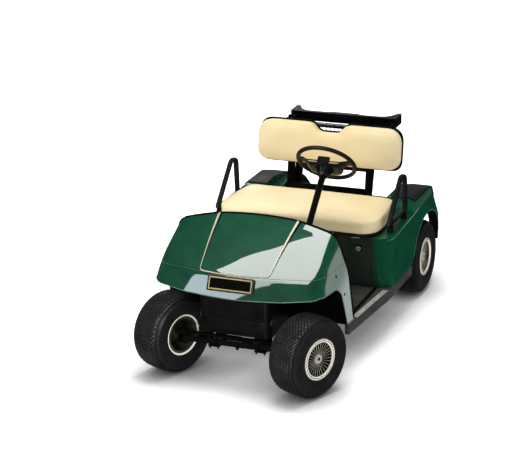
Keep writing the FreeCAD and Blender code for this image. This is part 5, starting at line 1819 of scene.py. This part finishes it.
# ---- studio ----
# Corners of the cards, in millimetres from the front axle. The hood's card hangs overhead, and its curved
# edge is the edge of the patch that the hood mirrors; the next two stand in front of the cart; the last one
# lies on the floor beside it.
HOOD_PANEL = [(x, y, 6000) for x, y in (
    (-3000, -9000), (2500, -9000), (2500, 1200), (1500, 2300), (0, 2700), (-830, 2700), (-830, 2190),
    (-520, 2060), (-470, 1850), (-700, 1560), (-1306, 1058), (-2261, 618), (-3000, 330))]
NOSE_PANEL = [(x, -5000, z) for x, z in (
    (-5490, 2600), (-5480, 2830), (-5360, 2955), (-5270, 2990), (-5230, 4300), (-3600, 4300), (-3500, 2990),
    (-456, 2850), (-456, 2836), (-3800, 2600))]
PLATE_PANEL = [(x, -5000, z) for x, z in (
    (-450, 2890), (-800, 5770), (-800, 5990), (150, 5990), (303, 4155), (145, 2935), (-300, 2885))]
FLOOR_PANEL = [(700, -2500, 8), (6500, -2500, 8), (6500, 6500, 8), (700, 6500, 8)]


def wheel_pieces(*parts: str) -> list[str]:
    """Names of the given parts on all four wheels."""
    return [f"{part}_{wheel}" for part in parts
            for wheel in ("front_left", "front_right", "rear_left", "rear_right")]


@dataclass
class Studio:
    """Pale floor, soft boxes and the camera."""

    shop: Workshop
    eye: tuple = (3724.0, -8800.0, 4256.0)
    azimuth: float = 22.072
    elevation: float = 19.494
    roll: float = -1.2114
    lens: float = 127.4

    def camera(self) -> None:
        """Camera on its stand: backward, right and up axes from azimuth, elevation and roll."""
        a, e, r = (math.radians(v) for v in (self.azimuth, self.elevation, self.roll))
        back = Vector((math.sin(a) * math.cos(e), -math.cos(a) * math.cos(e), math.sin(e)))
        right = Vector((math.cos(a), math.sin(a), 0))
        up = back.cross(right)
        turned_right = right * math.cos(r) + up * math.sin(r)
        turned_up = up * math.cos(r) - right * math.sin(r)
        place = Matrix((turned_right, turned_up, back)).transposed().to_4x4()
        place.translation = Vector(self.shop.place(np.array([self.eye]))[0])
        camera = bpy.data.objects.new("camera", bpy.data.cameras.new("camera"))
        camera.matrix_world = place
        camera.data.lens = self.lens
        camera.data.sensor_width = 36
        camera.data.clip_end = 100
        bpy.context.scene.collection.objects.link(camera)
        bpy.context.scene.camera = camera

    def floor(self) -> None:
        """Pale paper sheet that glows, a painted light: its glow is dimmed where ambient occlusion finds
        things near it, which paints the contact shadows, and rises to full strength far from the cart;
        what the pieces mirror of it is left to the cards.
        """
        mesh = bpy.data.meshes.new("floor")
        mesh.from_pydata([(-9, -9, 0), (9, -9, 0), (9, 4.5, 0), (-9, 4.5, 0)], [], [(0, 1, 2, 3)])
        skin = bpy.data.materials.new("pale paper")
        tree = bare_tree(skin)
        coords = add_node(tree, "ShaderNodeTexCoord").outputs["Object"]
        noise = add_node(tree, "ShaderNodeTexNoise", {"Vector": coords, "Scale": 0.4}).outputs["Fac"]
        tone = add_node(tree, "ShaderNodeMapRange", {"Value": noise, "To Min": 0.92, "To Max": 0.95})
        colour = add_node(tree, "ShaderNodeCombineColor", {0: tone.outputs[0], 1: tone.outputs[0],
                                                           2: tone.outputs[0]})
        far = add_node(tree, "ShaderNodeVectorMath", {0: coords}, operation="LENGTH").outputs["Value"]
        # painted contact shadow: the floor's glow drops where things stand near it
        open_air = add_node(tree, "ShaderNodeAmbientOcclusion", {"Distance": 0.36}, samples=16).outputs["AO"]
        painted_contact_shadow = add_node(tree, "ShaderNodeMath", {0: open_air, 1: 2.6}, operation="POWER").outputs[0]
        near = add_node(tree, "ShaderNodeMath", {0: painted_contact_shadow, 1: 0.75}, operation="MULTIPLY").outputs[0]
        glow = add_node(tree, "ShaderNodeMapRange", {"Value": far, "From Min": 1.8, "From Max": 4.0,
                                                     "To Min": near, "To Max": 1.0})
        shader = add_node(tree, "ShaderNodeBsdfPrincipled", {
            "Base Color": colour.outputs[0], "Roughness": 0.9, "Emission Color": (1, 1, 1, 1),
            "Emission Strength": glow.outputs[0]})
        add_node(tree, "ShaderNodeOutputMaterial", {"Surface": shader.outputs[0]})
        mesh.materials.append(skin)
        floor = bpy.data.objects.new("floor", mesh)
        floor.visible_glossy = False
        bpy.context.scene.collection.objects.link(floor)

    @staticmethod
    def softbox(name: str, place: Sequence[float], target: Sequence[float], size: tuple[float, float],
                power: float, mirrored: bool = False, shown_on: Sequence[str] = ()) -> None:
        """Rectangular light that faces a target.

        Args:
            name: the light's name.
            place: where it hangs, in the frame's metres.
            target: the point that it faces.
            size: its two sides in metres.
            power: watts.
            mirrored: glossy surfaces show the box.
            shown_on: names of the pieces that it lights, or all of them.
        """
        light = bpy.data.lights.new(name, "AREA")
        light.shape = "RECTANGLE"
        light.size, light.size_y = size
        light.energy = power
        lamp = bpy.data.objects.new(name, light)
        lamp.location = place
        lamp.rotation_euler = (Vector(target) - Vector(place)).to_track_quat("-Z", "Y").to_euler()
        lamp.visible_glossy = mirrored
        bpy.context.scene.collection.objects.link(lamp)
        if shown_on:
            lamp.light_linking.receiver_collection = Studio.group(name + " lights", shown_on)

    @staticmethod
    def group(name: str, pieces: Sequence[str]) -> bpy.types.Collection:
        """Collection of pieces that a light or a card is linked to.

        Args:
            name: name of the collection.
            pieces: names of its pieces.

        Returns:
            The new collection.
        """
        group = bpy.data.collections.new(name)
        for piece in pieces:
            group.objects.link(bpy.data.objects[piece])
        return group

    def card(self, name: str, corners: Sequence[Sequence[float]], glow: tuple[float, float, float, float],
             power: float, shown_in: Sequence[str] = ()) -> None:
        """Flat lit panel that only glossy surfaces see.

        Args:
            name: the card's name.
            corners: its outline in millimetres from the front axle.
            glow: linear colour of its light.
            power: strength of its light.
            shown_in: names of the pieces that mirror it, or all of them.
        """
        mesh = bpy.data.meshes.new(name)
        mesh.from_pydata(self.shop.place(np.array(corners, float)).tolist(), [], [list(range(len(corners)))])
        skin = bpy.data.materials.new(name + " cloth")
        tree = bare_tree(skin)
        glowing = add_node(tree, "ShaderNodeEmission", {"Color": glow, "Strength": power})
        add_node(tree, "ShaderNodeOutputMaterial", {"Surface": glowing.outputs[0]})
        mesh.materials.append(skin)
        card = bpy.data.objects.new(name, mesh)
        bpy.context.scene.collection.objects.link(card)
        card.visible_camera = card.visible_diffuse = card.visible_shadow = card.visible_transmission = False
        if shown_in:
            card.light_linking.receiver_collection = self.group(name + " mirrored in", shown_in)

    @staticmethod
    def sky() -> None:
        """World light: white to the lens, even to matt surfaces, and a dark dome with a pale horizon to
        glossy ones."""
        world = bpy.data.worlds.new("studio")
        tree = bare_tree(world)
        path = add_node(tree, "ShaderNodeLightPath").outputs
        coords = add_node(tree, "ShaderNodeTexCoord").outputs["Generated"]
        rise = add_node(tree, "ShaderNodeSeparateXYZ", {0: coords}).outputs["Z"]
        upper = add_node(tree, "ShaderNodeMapRange", {"Value": rise, "From Min": 0.0, "From Max": 0.75,
                                                      "To Min": 0.12, "To Max": 0.01},
                         interpolation_type="SMOOTHSTEP")
        sky = add_node(tree, "ShaderNodeMapRange", {"Value": rise, "From Min": -0.12, "From Max": 0.0,
                                                    "To Min": 0.06, "To Max": upper.outputs[0]})
        glossy = add_node(tree, "ShaderNodeMix", {0: path["Is Glossy Ray"], 2: 0.33, 3: sky.outputs[0]})
        seen = add_node(tree, "ShaderNodeMix", {0: path["Is Camera Ray"], 2: glossy.outputs[0], 3: 1.0})
        glow = add_node(tree, "ShaderNodeBackground", {"Color": (1, 1, 1, 1), "Strength": seen.outputs[0]})
        add_node(tree, "ShaderNodeOutputWorld", {"Surface": glow.outputs[0]})
        bpy.context.scene.world = world

    def build(self) -> None:
        """Sets up the world, the floor, the lights, the cards and the camera."""
        scene = bpy.context.scene
        scene.view_settings.view_transform = "Standard"
        scene.view_settings.look = "None"
        self.sky()
        self.floor()
        middle = (0.0, 0.0, 0.5)
        strips = ["step_strips_soft"]
        pale = ["bench_cushion", "back_cushion", "hood_step_highlights"] + strips
        low = ["front_fascia_soft", "shield_insert", "front_axle_soft", "knuckle_left_soft",
               "knuckle_right_soft", "inner_flange_front_right", "rim_front_right"]
        bright = wheel_pieces("trim_ring", "cover_fins", "hub_cap", "inner_flange")
        for row in (
                ("overhead", (0.1, 0.2, 5.5), middle, (3.0, 3.0), 200),
                ("front fill", (-1.5, -6.5, 2.8), middle, (3.0, 2.0), 16),
                ("rim light", (-2.5, 4.5, 3.5), middle, (2.5, 2.5), 50, True),
                ("seat fill", (-2.5, -6.0, 1.8), middle, (2.0, 1.4), 165, False, pale),
                ("step fill", (2.5, -2.5, 2.5), (0.5, -0.3, 0.3), (1.0, 1.0), 60, False, strips),
                ("low fill", (0.8, -4.5, 0.5), (0.0, -1.0, 0.3), (1.6, 0.6), 60, True, low),
                ("bench fill", (0.1, -0.8, 1.2), (0.1, 0.0, 0.66), (1.0, 0.2), 2.5, False, ["bench_cushion"]),
                ("wheel fill", (5.0, -3.5, 1.4), middle, (2.0, 1.2), 110, False, bright)):
            self.softbox(*row)
        for name, corners, glow, power in (
                ("hood panel", HOOD_PANEL, (1.0, 0.98, 0.97, 1.0), 12.5),
                ("nose panel", NOSE_PANEL, (0.78, 0.88, 1.0, 1.0), 12.0),
                ("plate panel", PLATE_PANEL, (0.95, 0.97, 0.92, 1.0), 10.0),
                ("floor panel", FLOOR_PANEL, (1.0, 1.0, 1.0, 1.0), 1.5)):
            self.card(name, corners, glow, power, ("cowl_skin", "hood_step_highlights", "lower_edge_roll"))
        dark = wheel_pieces("tyre_skin") + ["hip_loops", "steering_column_soft", "steering_ring",
                                            "steering_hub", "steering_dish", "fender_pads_soft"]
        self.softbox("strip light", (-1.6, -4.2, 3.4), middle, (2.6, 2.0), 210, True, dark)
        self.camera()


def main() -> None:
    """Loads the frame and builds every sub-assembly in order, then the wheels and the studio."""
    logging.basicConfig(level=logging.INFO, format="%(name)s: %(message)s")
    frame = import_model()
    shop = Workshop(frame)
    for part in (Cowl, NamePlate, FrontShield, Dashboard, Floor, RearBody, Seat, BagRack, Steering,
                 RunningGear):
        part(shop).build()
    c, s = math.cos(STEERED), math.sin(STEERED)
    for name, x, y, outboard in (
            ("front_left", 423.9, -39.9, (c, s)), ("front_right", -423.9, 39.9, (-c, -s)),
            ("rear_left", 484.0, WHEELBASE, (1.0, 0.0)), ("rear_right", -484.0, WHEELBASE, (-1.0, 0.0))):
        TurfWheel(shop, name, (x, y, AXLE_LEVEL), outboard).build()
    Studio(shop).build()


if __name__ == "__main__":
    main()
